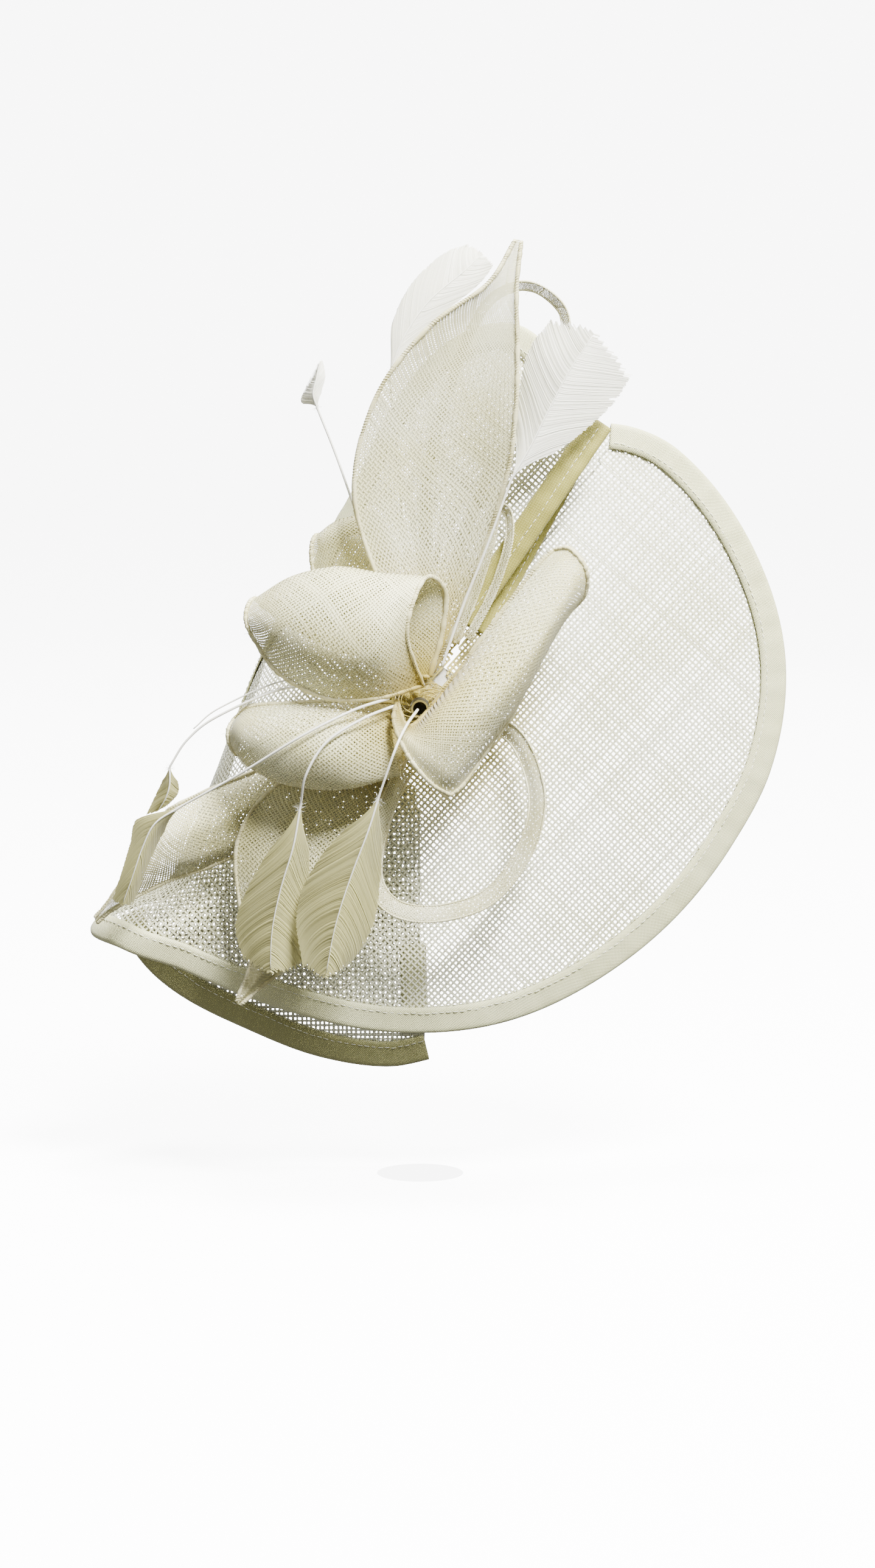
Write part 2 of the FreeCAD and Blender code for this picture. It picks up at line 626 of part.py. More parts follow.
FEATHERS = {
    "feather_top": (
        [(-4, -9.8, 28), (-7, -13, 70), (-10, -18, 112), (-13.9, -23, 151)],
        [
            [(-15, -22.4, 151.5), (-13.9, -22.6, 151), (-12.8, -22.4, 151.5)],
            [(-13.5, -20, 172), (-7.5, -22.5, 168), (-3, -21, 165)],
            [(-5, -18, 192), (4, -21, 185), (10, -20, 179)],
            [(10, -15, 207), (20, -18, 199), (27, -19, 193)],
            [(23, -12, 212.5), (29, -14, 208), (34.2, -17, 202.8)],
        ],
    ),
    "feather_right": (
        [(10, -20, 19), (19.4, -25, 46), (30.6, -31, 73.6), (41.7, -35.6, 104.2)],
        [
            [(40.7, -35, 104.6), (41.7, -35.2, 104.2), (42.8, -35, 104)],
            [(43, -32, 122), (50, -36, 118), (58, -33, 113.5)],
            [(44.8, -30, 142), (59, -36, 136), (74, -31, 125)],
            [(49, -28, 162), (68, -35, 153), (88, -28, 138)],
            [(60, -26, 177.5), (80, -32, 171), (96.5, -26, 151.5)],
        ],
    ),
    "feather_small": (
        [(-7, -9.8, 24), (-15, -13, 50), (-22, -15.6, 70), (-29.2, -20, 90), (-38, -21, 115), (-46.7, -20.8, 136.8)],
        [
            [(-47.4, -20.3, 137), (-46.7, -20.4, 136.8), (-46, -20.3, 137)],
            [(-54, -18, 139.5), (-48.5, -22, 143), (-44.5, -20, 145)],
            [(-52, -17, 146.5), (-47, -22, 150), (-43, -20, 151.5)],
            [(-46.2, -19, 157.4), (-45.3, -20.5, 158.3), (-44.4, -20, 158.7)],
        ],
    ),
    "feather_lower_1": (
        [(-12, -29, 1), (-26, -43, -5), (-41.7, -49, -15.3), (-51, -48, -30), (-53.6, -39.5, -43)],
        [
            [(-54.7, -38.8, -43.2), (-53.6, -39, -42.8), (-52.5, -38.8, -43)],
            [(-66, -32, -61), (-57, -36, -62), (-50, -32, -62)],
            [(-77, -26, -79), (-63, -31, -82), (-50, -26, -82)],
            [(-84, -21, -98), (-67, -26, -101), (-50, -21, -100)],
            [(-80, -18, -115), (-68, -21, -121), (-55, -18, -119)],
        ],
    ),
    "feather_lower_2": (
        [(-1, -23.5, -0.5), (-6, -42, -8), (-11, -51, -19), (-18, -46.6, -38.9)],
        [
            [(-19, -46, -39.2), (-18, -46.2, -38.8), (-17, -46, -39)],
            [(-31, -41, -52), (-23, -44, -55), (-16.8, -40, -56)],
            [(-47, -35, -70), (-31, -40, -76), (-17.6, -34, -78)],
            [(-56, -30, -92), (-38, -36, -98), (-21.5, -30, -100)],
            [(-53, -27, -118), (-43, -30, -123), (-32, -27, -117)],
        ],
    ),
    "feather_left_1": (
        [(-14, -32, 4.5), (-30, -42, -1), (-52.8, -48.5, -12.5), (-80.6, -37, -29.2), (-108.3, -26.6, -44.4)],
        [
            [(-109, -26, -43.8), (-108.3, -26.2, -44.4), (-107.8, -26, -45.4)],
            [(-128, -20, -49.5), (-120, -24, -52), (-115.5, -20, -55)],
            [(-132, -17, -62), (-126, -21, -63), (-120.5, -17, -64)],
            [(-136.5, -14, -76), (-131, -17, -77), (-126, -14, -77)],
            [(-140.5, -10, -88), (-136, -12, -90), (-131.5, -10, -90.5)],
        ],
    ),
    "feather_left_2": (
        [(-13, -20.5, 8), (-36, -25, 9.2), (-61.7, -26, 9), (-91.7, -22, -3.4), (-105.6, -20, -14), (-113.9, -17.6, -26.4)],
        [
            [(-114.8, -17, -27), (-113.9, -17.2, -26.4), (-113, -17, -27)],
            [(-118, -13, -34), (-114, -16, -34.5), (-110, -13, -34)],
            [(-121.5, -11, -41), (-116, -14, -41), (-110.5, -11, -39)],
            [(-125, -9, -48.5), (-119.5, -11, -46.5), (-115, -9, -44)],
        ],
    ),
}
for name, (stem, ribs) in FEATHERS.items():
    write(name + "_quill", rod([V(*p) for p in lifted(stem)], QUILL, QUILL * 0.75))
    write(name + "_vane", thicken(patch([lifted(rib) for rib in ribs], 4 * len(ribs) - 3, 9), VANE))
bare = [(-13, -18.5, 11.2), (-36, -22, 13.4), (-62, -23.4, 12.6), (-91, -19.4, 0.4), (-103, -17, -9)]
write("quill_bare", rod([V(*p) for p in lifted(bare)], QUILL * 0.8, QUILL * 0.5))

print(len(written), "nodes,", round(sum(s.Volume for s in written.values()) / 1000, 1), "cm3")
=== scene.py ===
import bmesh
import bpy
import math
import numpy as np
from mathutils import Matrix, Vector


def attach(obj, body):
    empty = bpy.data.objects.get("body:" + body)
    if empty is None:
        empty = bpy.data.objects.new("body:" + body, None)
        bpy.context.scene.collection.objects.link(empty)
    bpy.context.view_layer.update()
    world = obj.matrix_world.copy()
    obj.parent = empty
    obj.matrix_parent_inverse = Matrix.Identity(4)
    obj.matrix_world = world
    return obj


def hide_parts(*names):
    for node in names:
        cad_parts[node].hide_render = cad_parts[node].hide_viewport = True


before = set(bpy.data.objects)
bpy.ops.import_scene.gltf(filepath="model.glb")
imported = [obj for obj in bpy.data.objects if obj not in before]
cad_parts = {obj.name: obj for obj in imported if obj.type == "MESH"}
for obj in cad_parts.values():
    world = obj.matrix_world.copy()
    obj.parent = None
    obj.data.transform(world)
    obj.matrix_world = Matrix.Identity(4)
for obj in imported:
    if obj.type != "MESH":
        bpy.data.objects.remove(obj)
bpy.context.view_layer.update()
rng = np.random.default_rng(7)
BODY = "headpiece"
LEAN = math.radians(8.0)
HIDE = []  # (piece, CAD nodes it stands for)


# ---------------- camera, floor, light ----------------
def lean(p):
    """Design millimetres to metres in the part's frame, leaned back."""
    p = np.asarray(p, float)
    x, y, z = p[..., 0], p[..., 1], p[..., 2]
    c, s = math.cos(LEAN), math.sin(LEAN)
    return np.stack([x, y * c + z * s, z * c - y * s], -1) / 1000


FLOOR = -0.2165
HEART = (0, -14, 2)  # the flower's middle, in design millimetres
scene = bpy.context.scene
cam_data = bpy.data.cameras.new("camera")
cam = bpy.data.objects.new("camera", cam_data)
scene.collection.objects.link(cam)
scene.camera = cam
AIM = lean([8.06, -10.0, -34.2])
AWAY = 2.5
VIEW_HEIGHT = 0.7156
SENSOR = 36
cam_data.sensor_fit = "VERTICAL"
cam_data.sensor_height = SENSOR
cam_data.lens = SENSOR * AWAY / VIEW_HEIGHT
cam.location = AIM + np.array([0, -AWAY * math.cos(LEAN), AWAY * math.sin(LEAN)])
cam.rotation_euler = (math.pi / 2 - LEAN, 0, 0)
cam_data.clip_end = 50


def area_light(name, place, at, size, power, tint=(1, 1, 1)):
    data = bpy.data.lights.new(name, "AREA")
    data.energy = power
    data.size = size
    data.color = tint
    ob = bpy.data.objects.new(name, data)
    scene.collection.objects.link(ob)
    ob.location = place
    way = np.array(at, float) - np.array(place, float)
    ob.rotation_euler = Vector(way).to_track_quat("-Z", "Y").to_euler()


area_light("key", (0.8, -1.2, 2.0), (0, 0, 0), 0.8, 330)
area_light("fill", (-1.7, -1.5, 0.7), (0, 0, 0), 1.4, 6)
area_light("top", (0.1, 0.15, 1.7), (0.03, 0.02, -0.2), 0.4, 95)
area_light("back", (0.4, 1.7, 0.7), (0, 0, 0), 1.4, 14)

world = bpy.data.worlds.new("world")
world.use_nodes = True
world.node_tree.nodes["Background"].inputs[0].default_value = (1, 1, 1, 1)
world.node_tree.nodes["Background"].inputs[1].default_value = 0.3
scene.world = world


# ---------------- materials ----------------
def material(name, rough=0.6, **fixed):
    m = bpy.data.materials.new(name)
    m.use_nodes = True
    b = m.node_tree.nodes["Principled BSDF"]
    b.inputs["Roughness"].default_value = rough
    for key, value in fixed.items():
        b.inputs[key.replace("_", " ")].default_value = value
    return m, m.node_tree, b


def node(tree, kind, **sockets):
    n = tree.nodes.new(kind)
    for key, value in sockets.items():
        n.inputs[key.replace("_", " ")].default_value = value
    return n


def mixed(tree, factor, a, b):
    n = tree.nodes.new("ShaderNodeMix")
    n.data_type = "RGBA"
    tree.links.new(factor, n.inputs[0])
    for slot, c in ((6, a), (7, b)):
        if isinstance(c, tuple):
            n.inputs[slot].default_value = (*c, 1)
        else:
            tree.links.new(c, n.inputs[slot])
    return n.outputs[2]


def multiplied(tree, a, b):
    n = tree.nodes.new("ShaderNodeMix")
    n.data_type = "RGBA"
    n.blend_type = "MULTIPLY"
    n.inputs[0].default_value = 1.0
    tree.links.new(a, n.inputs[6])
    tree.links.new(b, n.inputs[7])
    return n.outputs[2]


def ranged(tree, value, low, high, out_low=0.0, out_high=1.0, smooth=True):
    """Maps value from low..high onto out_low..out_high, and stops there."""
    n = tree.nodes.new("ShaderNodeMapRange")
    if smooth:
        n.interpolation_type = "SMOOTHSTEP"
    for slot, number in zip((1, 2, 3, 4), (low, high, out_low, out_high)):
        n.inputs[slot].default_value = number
    tree.links.new(value, n.inputs[0])
    return n.outputs[0]


def bumped(tree, shader, height, strength, distance):
    bump = node(tree, "ShaderNodeBump", Strength=strength, Distance=distance)
    tree.links.new(height, bump.inputs["Height"])
    tree.links.new(bump.outputs[0], shader.inputs["Normal"])


def lin(c):
    """A screen colour from 0 to 255 as linear light."""
    return tuple(round(((v / 255 + 0.055) / 1.055) ** 2.4, 5) for v in c)


def heart_fade(tree, reach0, reach1):
    """1 at the flower's heart, 0 beyond it: the mask for the golden shade painted round the heart."""
    co = tree.nodes.new("ShaderNodeTexCoord")
    move = node(tree, "ShaderNodeVectorMath")
    move.operation = "SUBTRACT"
    move.inputs[1].default_value = tuple(lean(HEART))
    tree.links.new(co.outputs["Object"], move.inputs[0])
    far = tree.nodes.new("ShaderNodeVectorMath")
    far.operation = "LENGTH"
    tree.links.new(move.outputs[0], far.inputs[0])
    return ranged(tree, far.outputs["Value"], reach0, reach1, 1.0, 0.0), co


def straw(name, pale, deep, heart, reach=(0.012, 0.06), patch=18, sheen=0.25, edge_shade=(0.38, 0.38, 0.28)):
    """Straw thread: cloudy from pale to deep, with golden shade painted near the heart, and shade painted
    along each thread's edges for its roundness.
    """
    m, t, b = material(name, 0.55)
    heart_shade, co = heart_fade(t, *reach)
    big = node(t, "ShaderNodeTexNoise", Scale=patch, Detail=3.0)
    fine = node(t, "ShaderNodeTexNoise", Scale=900.0, Detail=2.0)
    for n in (big, fine):
        t.links.new(co.outputs["Object"], n.inputs["Vector"])
    base = mixed(t, ranged(t, big.outputs[0], 0.38, 0.66, smooth=False), lin(pale), lin(deep))
    # painted shade: golden near the flower's heart, where the petals crowd round it
    heart_shaded = mixed(t, heart_shade, base, lin(heart))
    fibre = mixed(t, fine.outputs[0], (0.86, 0.86, 0.84), (1.0, 1.0, 1.0))
    across = t.nodes.new("ShaderNodeUVMap")
    across.uv_map = "cloth"
    split = t.nodes.new("ShaderNodeSeparateXYZ")
    t.links.new(across.outputs[0], split.inputs[0])
    off = node(t, "ShaderNodeMath")
    off.operation = "SUBTRACT"
    off.inputs[1].default_value = 0.5
    t.links.new(split.outputs[0], off.inputs[0])
    far = node(t, "ShaderNodeMath")
    far.operation = "ABSOLUTE"
    t.links.new(off.outputs[0], far.inputs[0])
    # painted shade: each thread darker towards its edges, for its roundness
    edge = mixed(t, ranged(t, far.outputs[0], 0.18, 0.5), (1.0, 1.0, 1.0), edge_shade)
    t.links.new(multiplied(t, multiplied(t, heart_shaded, fibre), edge), b.inputs["Base Color"])
    b.inputs["Sheen Weight"].default_value = sheen
    bumped(t, b, fine.outputs[0], 0.3, 0.0002)
    return m


def tape_weave(name, pale, deep):
    """A fine plain weave with shade painted between its threads, laid out along the piece's own map in
    metres.
    """
    m, t, b = material(name, 0.5)
    uv = t.nodes.new("ShaderNodeUVMap")
    uv.uv_map = "cloth"
    waves = []
    for turn in (38, -52):
        way = t.nodes.new("ShaderNodeMapping")
        way.inputs["Rotation"].default_value = (0, 0, math.radians(turn))
        t.links.new(uv.outputs[0], way.inputs[0])
        wave = node(t, "ShaderNodeTexWave", Scale=470.0, Distortion=0.6, Detail=1.0)
        t.links.new(way.outputs[0], wave.inputs["Vector"])
        waves.append(wave)
    both = t.nodes.new("ShaderNodeMath")
    both.operation = "MULTIPLY"
    t.links.new(waves[0].outputs[1], both.inputs[0])
    t.links.new(waves[1].outputs[1], both.inputs[1])
    co = t.nodes.new("ShaderNodeTexCoord")
    cloud = node(t, "ShaderNodeTexNoise", Scale=30.0, Detail=3.0)
    t.links.new(co.outputs["Object"], cloud.inputs["Vector"])
    tone = mixed(t, cloud.outputs[0], lin(pale), lin(deep))
    # painted shade: darker between the weave's crossing threads
    weave_shade = mixed(t, both.outputs[0], (0.70, 0.70, 0.62), (1.0, 1.0, 1.0))
    t.links.new(multiplied(t, tone, weave_shade), b.inputs["Base Color"])
    bumped(t, b, both.outputs[0], 0.7, 0.0003)
    b.inputs["Sheen Weight"].default_value = 0.2
    return m


def plain(name, a, c, rough=0.5, scale=60.0, bump_scale=800.0, bump_by=0.2, **fixed):
    """A material that clouds from colour a to colour c, with a fine bump."""
    m, t, b = material(name, rough, **fixed)
    co = t.nodes.new("ShaderNodeTexCoord")
    n1 = node(t, "ShaderNodeTexNoise", Scale=scale, Detail=4.0)
    n2 = node(t, "ShaderNodeTexNoise", Scale=bump_scale, Detail=3.0)
    t.links.new(co.outputs["Object"], n1.inputs["Vector"])
    t.links.new(co.outputs["Object"], n2.inputs["Vector"])
    t.links.new(mixed(t, n1.outputs[0], lin(a), lin(c)), b.inputs["Base Color"])
    bumped(t, b, n2.outputs[0], bump_by, 0.0003)
    return m


# The third colour of each straw is golden shade painted near the flower's heart.
M_BRIM = straw("straw_brim", (246, 245, 216), (228, 226, 186), (218, 202, 112), (0.02, 0.075))
# The under layer: a darker copy of the brim's straw, painted with the shade it lies in behind the brim.
M_UNDER_SHADED = straw("straw_under_shaded", (214, 214, 192), (196, 194, 164), (190, 184, 140))
M_PETAL = straw("straw_petal", (242, 238, 192), (220, 212, 150), (170, 150, 50), (0.010, 0.055), 24)
M_LEAF = straw("straw_leaf", (246, 243, 210), (226, 220, 166), (196, 176, 76), (0.02, 0.085), 20)
# The lower leaves: a darker copy of the leaf straw, painted shade.
M_LEAF_SHADED = straw("straw_leaf_shaded", (236, 231, 184), (206, 199, 138), (182, 162, 70), (0.02, 0.07), 24)
M_LOOP = straw("straw_loop", (230, 226, 188), (208, 202, 150), (196, 178, 90), (0.02, 0.05), 40)
M_HEM = straw("straw_hem", (226, 220, 174), (204, 196, 142), (166, 148, 66), (0.01, 0.05), 90)
M_TAPE = tape_weave("tape_rim", (246, 245, 202), (234, 232, 176))
# The slit's tape: a darker, yellower copy of the rim tape, painted with the shade it is rolled into.
M_TAPE_SLIT_SHADED = tape_weave("tape_slit_shaded", (196, 188, 92), (168, 159, 66))
# The under layer's tape: a darker copy of the rim tape, painted shade.
M_TAPE_UNDER_SHADED = tape_weave("tape_under_shaded", (192, 189, 132), (168, 165, 106))
M_STITCH = plain("stitch_thread", (246, 246, 232), (228, 226, 204), 0.6, 300.0)
BARB = (0.55, 50.0, 1500.0, 0.1)
M_FEATHER = plain("feather_barbs", (246, 245, 230), (236, 234, 212), *BARB, Sheen_Weight=0.4)
# The lower and left feathers: a darker copy of the feather barbs, painted shade.
M_FEATHER_SHADED = plain("feather_barbs_shaded", (192, 187, 128), (168, 162, 96), *BARB, Sheen_Weight=0.4)
M_QUILL = plain("quill_horn", (250, 249, 240), (230, 227, 208), 0.35, 120.0, 400.0, 0.05)
M_FELT = plain("felt", (236, 234, 222), (220, 217, 200), 0.95, 400.0, 1600.0, 0.6)
M_WIRE = plain("wire", (150, 150, 148), (120, 120, 118), 0.4, 200.0, 900.0, 0.1, Metallic=1.0)
M_NICKEL = plain("nickel", (214, 214, 212), (186, 186, 184), 0.22, 160.0, 1200.0, 0.05, Metallic=1.0)
M_CLEAR = plain("clear_comb", (236, 240, 240), (224, 230, 230), 0.12, 90.0, 300.0, 0.05,
                Transmission_Weight=0.75, IOR=1.49)
M_FLOOR = plain("floor_sweep", (252, 252, 252), (250, 250, 250), 0.9, 2.0, 10.0, 0.0, Emission_Strength=7.5)


# ---------------- building meshes ----------------
def build(name, verts, quads, mat, uv=None, smooth=True, body=BODY):
    """A mesh piece from design-millimetre points. uv is per point, in millimetres.

    "threads" as uv gives ribbons a map that runs from 0 to 1 across each of them."""
    verts, quads = lean(np.asarray(verts, float).reshape(-1, 3)), np.asarray(quads, np.int32)
    used = np.zeros(len(verts), bool)
    used[quads.ravel()] = True
    new = np.cumsum(used) - 1
    verts, quads = verts[used], new[quads]
    me = bpy.data.meshes.new(name)
    k = quads.shape[1]
    me.vertices.add(len(verts))
    me.vertices.foreach_set("co", verts.ravel())
    me.loops.add(quads.size)
    me.loops.foreach_set("vertex_index", quads.ravel().astype(np.int32))
    me.polygons.add(len(quads))
    me.polygons.foreach_set("loop_start", np.arange(0, quads.size, k, dtype=np.int32))
    me.polygons.foreach_set("use_smooth", np.full(len(quads), smooth))
    if isinstance(uv, str):
        index = np.arange(len(used))
        uv = np.stack([(index % 2) * 1000.0, index // 2 * 0.7], -1)
    if uv is not None:
        layer = me.uv_layers.new(name="cloth")
        corners = np.asarray(uv, float).reshape(-1, 2)[used][quads.ravel()] / 1000
        layer.data.foreach_set("uv", corners.ravel())
    me.update(calc_edges=True)
    me.validate()
    me.materials.append(mat)
    ob = bpy.data.objects.new(name, me)
    scene.collection.objects.link(ob)
    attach(ob, body)
    return ob


def grid_quads(m, n, wrap=False, start=0):
    """Quads over an m by n grid of points; wrap closes the second direction."""
    i = np.arange(m - 1)[:, None]
    j = np.arange(n if wrap else n - 1)[None, :]
    j2 = (j + 1) % n
    q = np.stack([i * n + j, i * n + j2, (i + 1) * n + j2, (i + 1) * n + j], -1)
    return q.reshape(-1, 4) + start


def unit(v):
    return v / np.maximum(np.linalg.norm(v, axis=-1, keepdims=True), 1e-9)


def turn_frames(line):
    """Side vectors that don't twist along lines of shape (k, n, 3)."""
    t = unit(np.gradient(line, axis=1))
    a = np.zeros_like(line)
    ref = np.tile([0.0, 1.0, 0.0], (len(line), 1))
    for i in range(line.shape[1]):
        ref = ref - t[:, i] * np.sum(ref * t[:, i], -1, keepdims=True)
        weak = np.linalg.norm(ref, axis=-1) < 0.2
        ref[weak] = np.cross(t[:, i][weak], [0.3, 0.5, 0.8])
        ref = unit(ref)
        a[:, i] = ref
    return a, np.cross(t, a)


def tubes(lines, radius, sides=6, flat=1.0):
    """Closed round rods along lines of shape (k, n, 3); radius is a number or an array (k, n)."""
    lines = np.asarray(lines, float)
    k, n = lines.shape[:2]
    a, b = turn_frames(lines)
    r = np.broadcast_to(np.asarray(radius, float), (k, n))[..., None, None]
    f = np.linspace(0, 2 * math.pi, sides, endpoint=False)
    turned = a[:, :, None] * np.cos(f)[:, None] + flat * b[:, :, None] * np.sin(f)[:, None]
    ring = lines[:, :, None] + r * turned
    points = ring.reshape(-1, 3)
    quads = [grid_quads(n, sides, True, start=q * n * sides) for q in range(k)]
    caps = []
    ends = len(points)
    extra = []
    for q in range(k):
        for row, flip in ((0, False), (n - 1, True)):
            extra.append(lines[q, row])
            c = ends + len(extra) - 1
            base = (q * n + row) * sides
            for s in range(0, sides, 2):
                x, y, z = base + s, base + (s + 1) % sides, base + (s + 2) % sides
                caps.append([c, z, y, x] if not flip else [c, x, y, z])
    return np.vstack([points, extra]), np.vstack([np.concatenate(quads), caps])


def ribbons(centre, side, ok):
    """Flat strips: centre and half-width side are (k, n, 3), ok says which points are kept."""
    k, n = centre.shape[:2]
    v = np.stack([centre - side, centre + side], 2).reshape(-1, 3)
    base = (np.arange(k)[:, None] * n + np.arange(n - 1)[None, :]) * 2
    q = np.stack([base, base + 1, base + 3, base + 2], -1)
    keep = ok[:, :-1] & ok[:, 1:]
    return v, q[keep]


def joined(parts):
    verts, quads, start = [], [], 0
    for v, q in parts:
        verts.append(v)
        quads.append(q + start)
        start += len(v)
    return np.vstack(verts), np.vstack(quads)


def woven(place, a, b, width, amp=0.17, jitter=0.07, loose=0.0, most=1.15):
    """Over-and-under threads. place(a, b) gives points and which of them lie on the cloth."""
    parts = []
    for turn in (0, 1):
        lines, steps = (a, b) if turn == 0 else (b, a)
        off = rng.normal(0, jitter, len(lines))
        drift = np.cumsum(rng.normal(0, loose, (len(lines), len(steps))), 1) if loose else 0.0
        u = (lines + off)[:, None] + np.zeros(len(steps))[None, :] + drift
        v = np.zeros(len(lines))[:, None] + steps[None, :]

        def at(x, y):
            return place(x, y) if turn == 0 else place(y, x)

        p, ok = at(u, v)
        du = at(u + 0.3, v)[0] - at(u - 0.3, v)[0]
        dv = at(u, v + 0.3)[0] - at(u, v - 0.3)[0]
        nrm = unit(np.cross(du, dv))
        sign = (-1.0) ** (np.arange(len(lines))[:, None] + np.arange(len(steps))[None, :])
        thick = width * rng.normal(1, 0.13, len(lines)).clip(0.7, 1.4)[:, None, None] / 2
        thick = thick * rng.normal(1, 0.07, (len(lines), len(steps), 1))
        room = np.linalg.norm(du, axis=-1, keepdims=True) / 0.6
        side = unit(du) * thick * np.minimum(room, most)
        parts.append(ribbons(p + nrm * (sign * amp)[..., None] * np.minimum(room, 1.0), side, ok))
    return joined(parts)


# ---------------- the brim ----------------
PAD_THICK = 3.7
SHEET = 0.8
SEAT_GAP = 0.8
BRIM_Y = -(PAD_THICK + SEAT_GAP + SHEET / 2)
ROLL_AXIS = 62.0
ROLL_START = 25.0
TIP_START = 60.0
ROLL_RADIUS = 53.0
TIP_RADIUS = 27.0
DOME = 0.0007
LIFT = 27.0
LIFT_SPAN = 39.5
SLIT_UPPER = 55.5
SLIT_LOWER = 421.0
BAND = 12.0
RIM = np.array([
    (50.0, 147), (55.5, 154), (66, 168), (76, 182.5), (88, 170), (98.6, 144), (109.5, 114),
    (118, 103), (132, 92), (145, 98), (160, 113), (175, 128), (190, 148), (200, 168),
    (209.5, 190), (219, 176), (228, 162), (245, 152), (265, 149), (285, 149), (305, 149),
    (322, 152), (337, 157), (350, 164), (367, 170), (381, 171), (405, 169), (413, 163),
    (421, 151),
])
UNDER_FROM = 214.0
UNDER_TO = 271.5
UNDER_INNER = 34.0
UNDER_DROP = 26.0
UNDER_RIM = np.array([(205, 166), (214, 172), (224.7, 175), (241.5, 169), (253.7, 168), (265.2, 166.4),
                      (271.5, 162.5), (276, 160)])


def ease(t):
    t = np.clip(t, 0, 1)
    return t * t * (3 - 2 * t)


def along(table, x):
    """The smooth curve through a table's (x, y) rows, at x."""
    x = np.asarray(x, float)
    xs, ys = table[:, 0], table[:, 1]
    slope = np.empty(len(xs))
    slope[1:-1] = (ys[2:] - ys[:-2]) / (xs[2:] - xs[:-2])
    slope[0] = (ys[1] - ys[0]) / (xs[1] - xs[0])
    slope[-1] = (ys[-1] - ys[-2]) / (xs[-1] - xs[-2])
    i = np.clip(np.searchsorted(xs, x, side="left") - 1, 0, len(xs) - 2)
    h = xs[i + 1] - xs[i]
    t = np.clip((x - xs[i]) / h, 0, 1)
    return (ys[i] * (1 + 2 * t) * (1 - t) ** 2 + slope[i] * h * t * (1 - t) ** 2
            + ys[i + 1] * t * t * (3 - 2 * t) + slope[i + 1] * h * t * t * (t - 1))


def lay(r, th):
    """Where the flat brim's point at radius r and angle th lies once it is shaped."""
    r, th = np.asarray(r, float), np.asarray(th, float)
    p = r * np.cos(np.radians(th - (ROLL_AXIS + 90)))
    q = r * np.cos(np.radians(th - ROLL_AXIS))
    far = ease((-q - 118) / 43)
    start = ROLL_START * (1 - far) + TIP_START * far
    bend = (ROLL_RADIUS + 0.1 * q) * (1 - far) + TIP_RADIUS * far
    y = BRIM_Y + DOME * r * r
    a = np.maximum(p - start, 0) / bend
    rolled = p > start
    y = y + np.where(rolled, bend * (1 - np.cos(a)), 0)
    p = np.where(rolled, start + bend * np.sin(a), p)
    near = ease((SLIT_UPPER + LIFT_SPAN - th) / LIFT_SPAN)
    y = y - near * (1.6 + LIFT * ease((r - 22) / 133))
    side, up = math.radians(ROLL_AXIS + 90), math.radians(ROLL_AXIS)
    return np.stack([p * math.cos(side) + q * math.cos(up), y, p * math.sin(side) + q * math.sin(up)], -1)


def lay_under(r, th):
    """The same for the under layer, which hangs further back as it goes out."""
    p = lay(r, th)
    p[..., 1] += 1.4 + UNDER_DROP * ease((np.asarray(r) - UNDER_INNER) / 125)
    return p


def normal_at(place, r, th):
    """The shaped surface's unit normal at a flat polar point."""
    d = 0.4
    k = np.degrees(d / r)
    return unit(np.cross(place(r + d, th) - place(r - d, th), place(r, th + k) - place(r, th - k)))


def inward(table, th, w):
    """Flat polar points a distance w in from the outline at the angles th, square to it."""
    def flat(a):
        r = along(table, a)
        return np.stack([r * np.cos(np.radians(a)), r * np.sin(np.radians(a))], -1)
    d = unit(flat(th + 0.5) - flat(th - 0.5))
    p = flat(th) + np.stack([-d[..., 1], d[..., 0]], -1) * np.asarray(w)[..., None]
    a = np.degrees(np.arctan2(p[..., 1], p[..., 0]))
    return np.hypot(p[..., 0], p[..., 1]), a + 360 * np.round((th - a) / 360)


def spread(table, first, last, n):
    """n angles along an outline, closer together where it turns."""
    marks = np.linspace(first, last, 4000)
    r = along(table, marks)
    flat = np.stack([r * np.cos(np.radians(marks)), r * np.sin(np.radians(marks))], -1)
    step = np.diff(flat, axis=0)
    way = np.unwrap(np.arctan2(step[:, 1], step[:, 0]))
    cost = np.concatenate([[0], np.cumsum(np.linalg.norm(step, axis=1) + 20 * np.abs(np.gradient(way)))])
    return np.interp(np.linspace(0, cost[-1], n), cost, marks)


WEAVE_TURN = math.radians(48)
PITCH = 2.1
BRIM_THREAD = 1.05
UNDER_THREAD = 1.1
RIM_INSET = 3.0  # threads end this far inside the edge, within the tape
SLIT_INSET = 1.6
BRIM_HOLE = 6.5


def brim_polar(a, b):
    """Thread coordinates in the brim's plane, as a radius and an angle in degrees."""
    x = a * math.cos(WEAVE_TURN) - b * math.sin(WEAVE_TURN)
    z = a * math.sin(WEAVE_TURN) + b * math.cos(WEAVE_TURN)
    return np.maximum(np.hypot(x, z), 1e-3), np.degrees(np.arctan2(z, x))


def first_turn(a, b):
    """The brim from the slit's upper side round to a little short of it; no thread bridges the slit."""
    r, th = brim_polar(a, b)
    th = SLIT_UPPER + (th - SLIT_UPPER) % 360
    ok = (r > BRIM_HOLE) & (r < along(RIM, th) - RIM_INSET) & (th > SLIT_UPPER + np.degrees(SLIT_INSET / r))
    ok &= (th < SLIT_LOWER - np.degrees(SLIT_INSET / r)) & (th < SLIT_UPPER + 360 - np.degrees(2.4 / r))
    return lay(r, th), ok


def overlap_turn(a, b):
    """The stretch that goes on under the slit's upper side."""
    r, th = brim_polar(a, b)
    th = th % 360 + 360
    ok = (r > 20) & (r < along(RIM, th) - RIM_INSET)
    ok &= (th > SLIT_UPPER + 360 - np.degrees(4.6 / r)) & (th < SLIT_LOWER - np.degrees(SLIT_INSET / r))
    return lay(r, th), ok


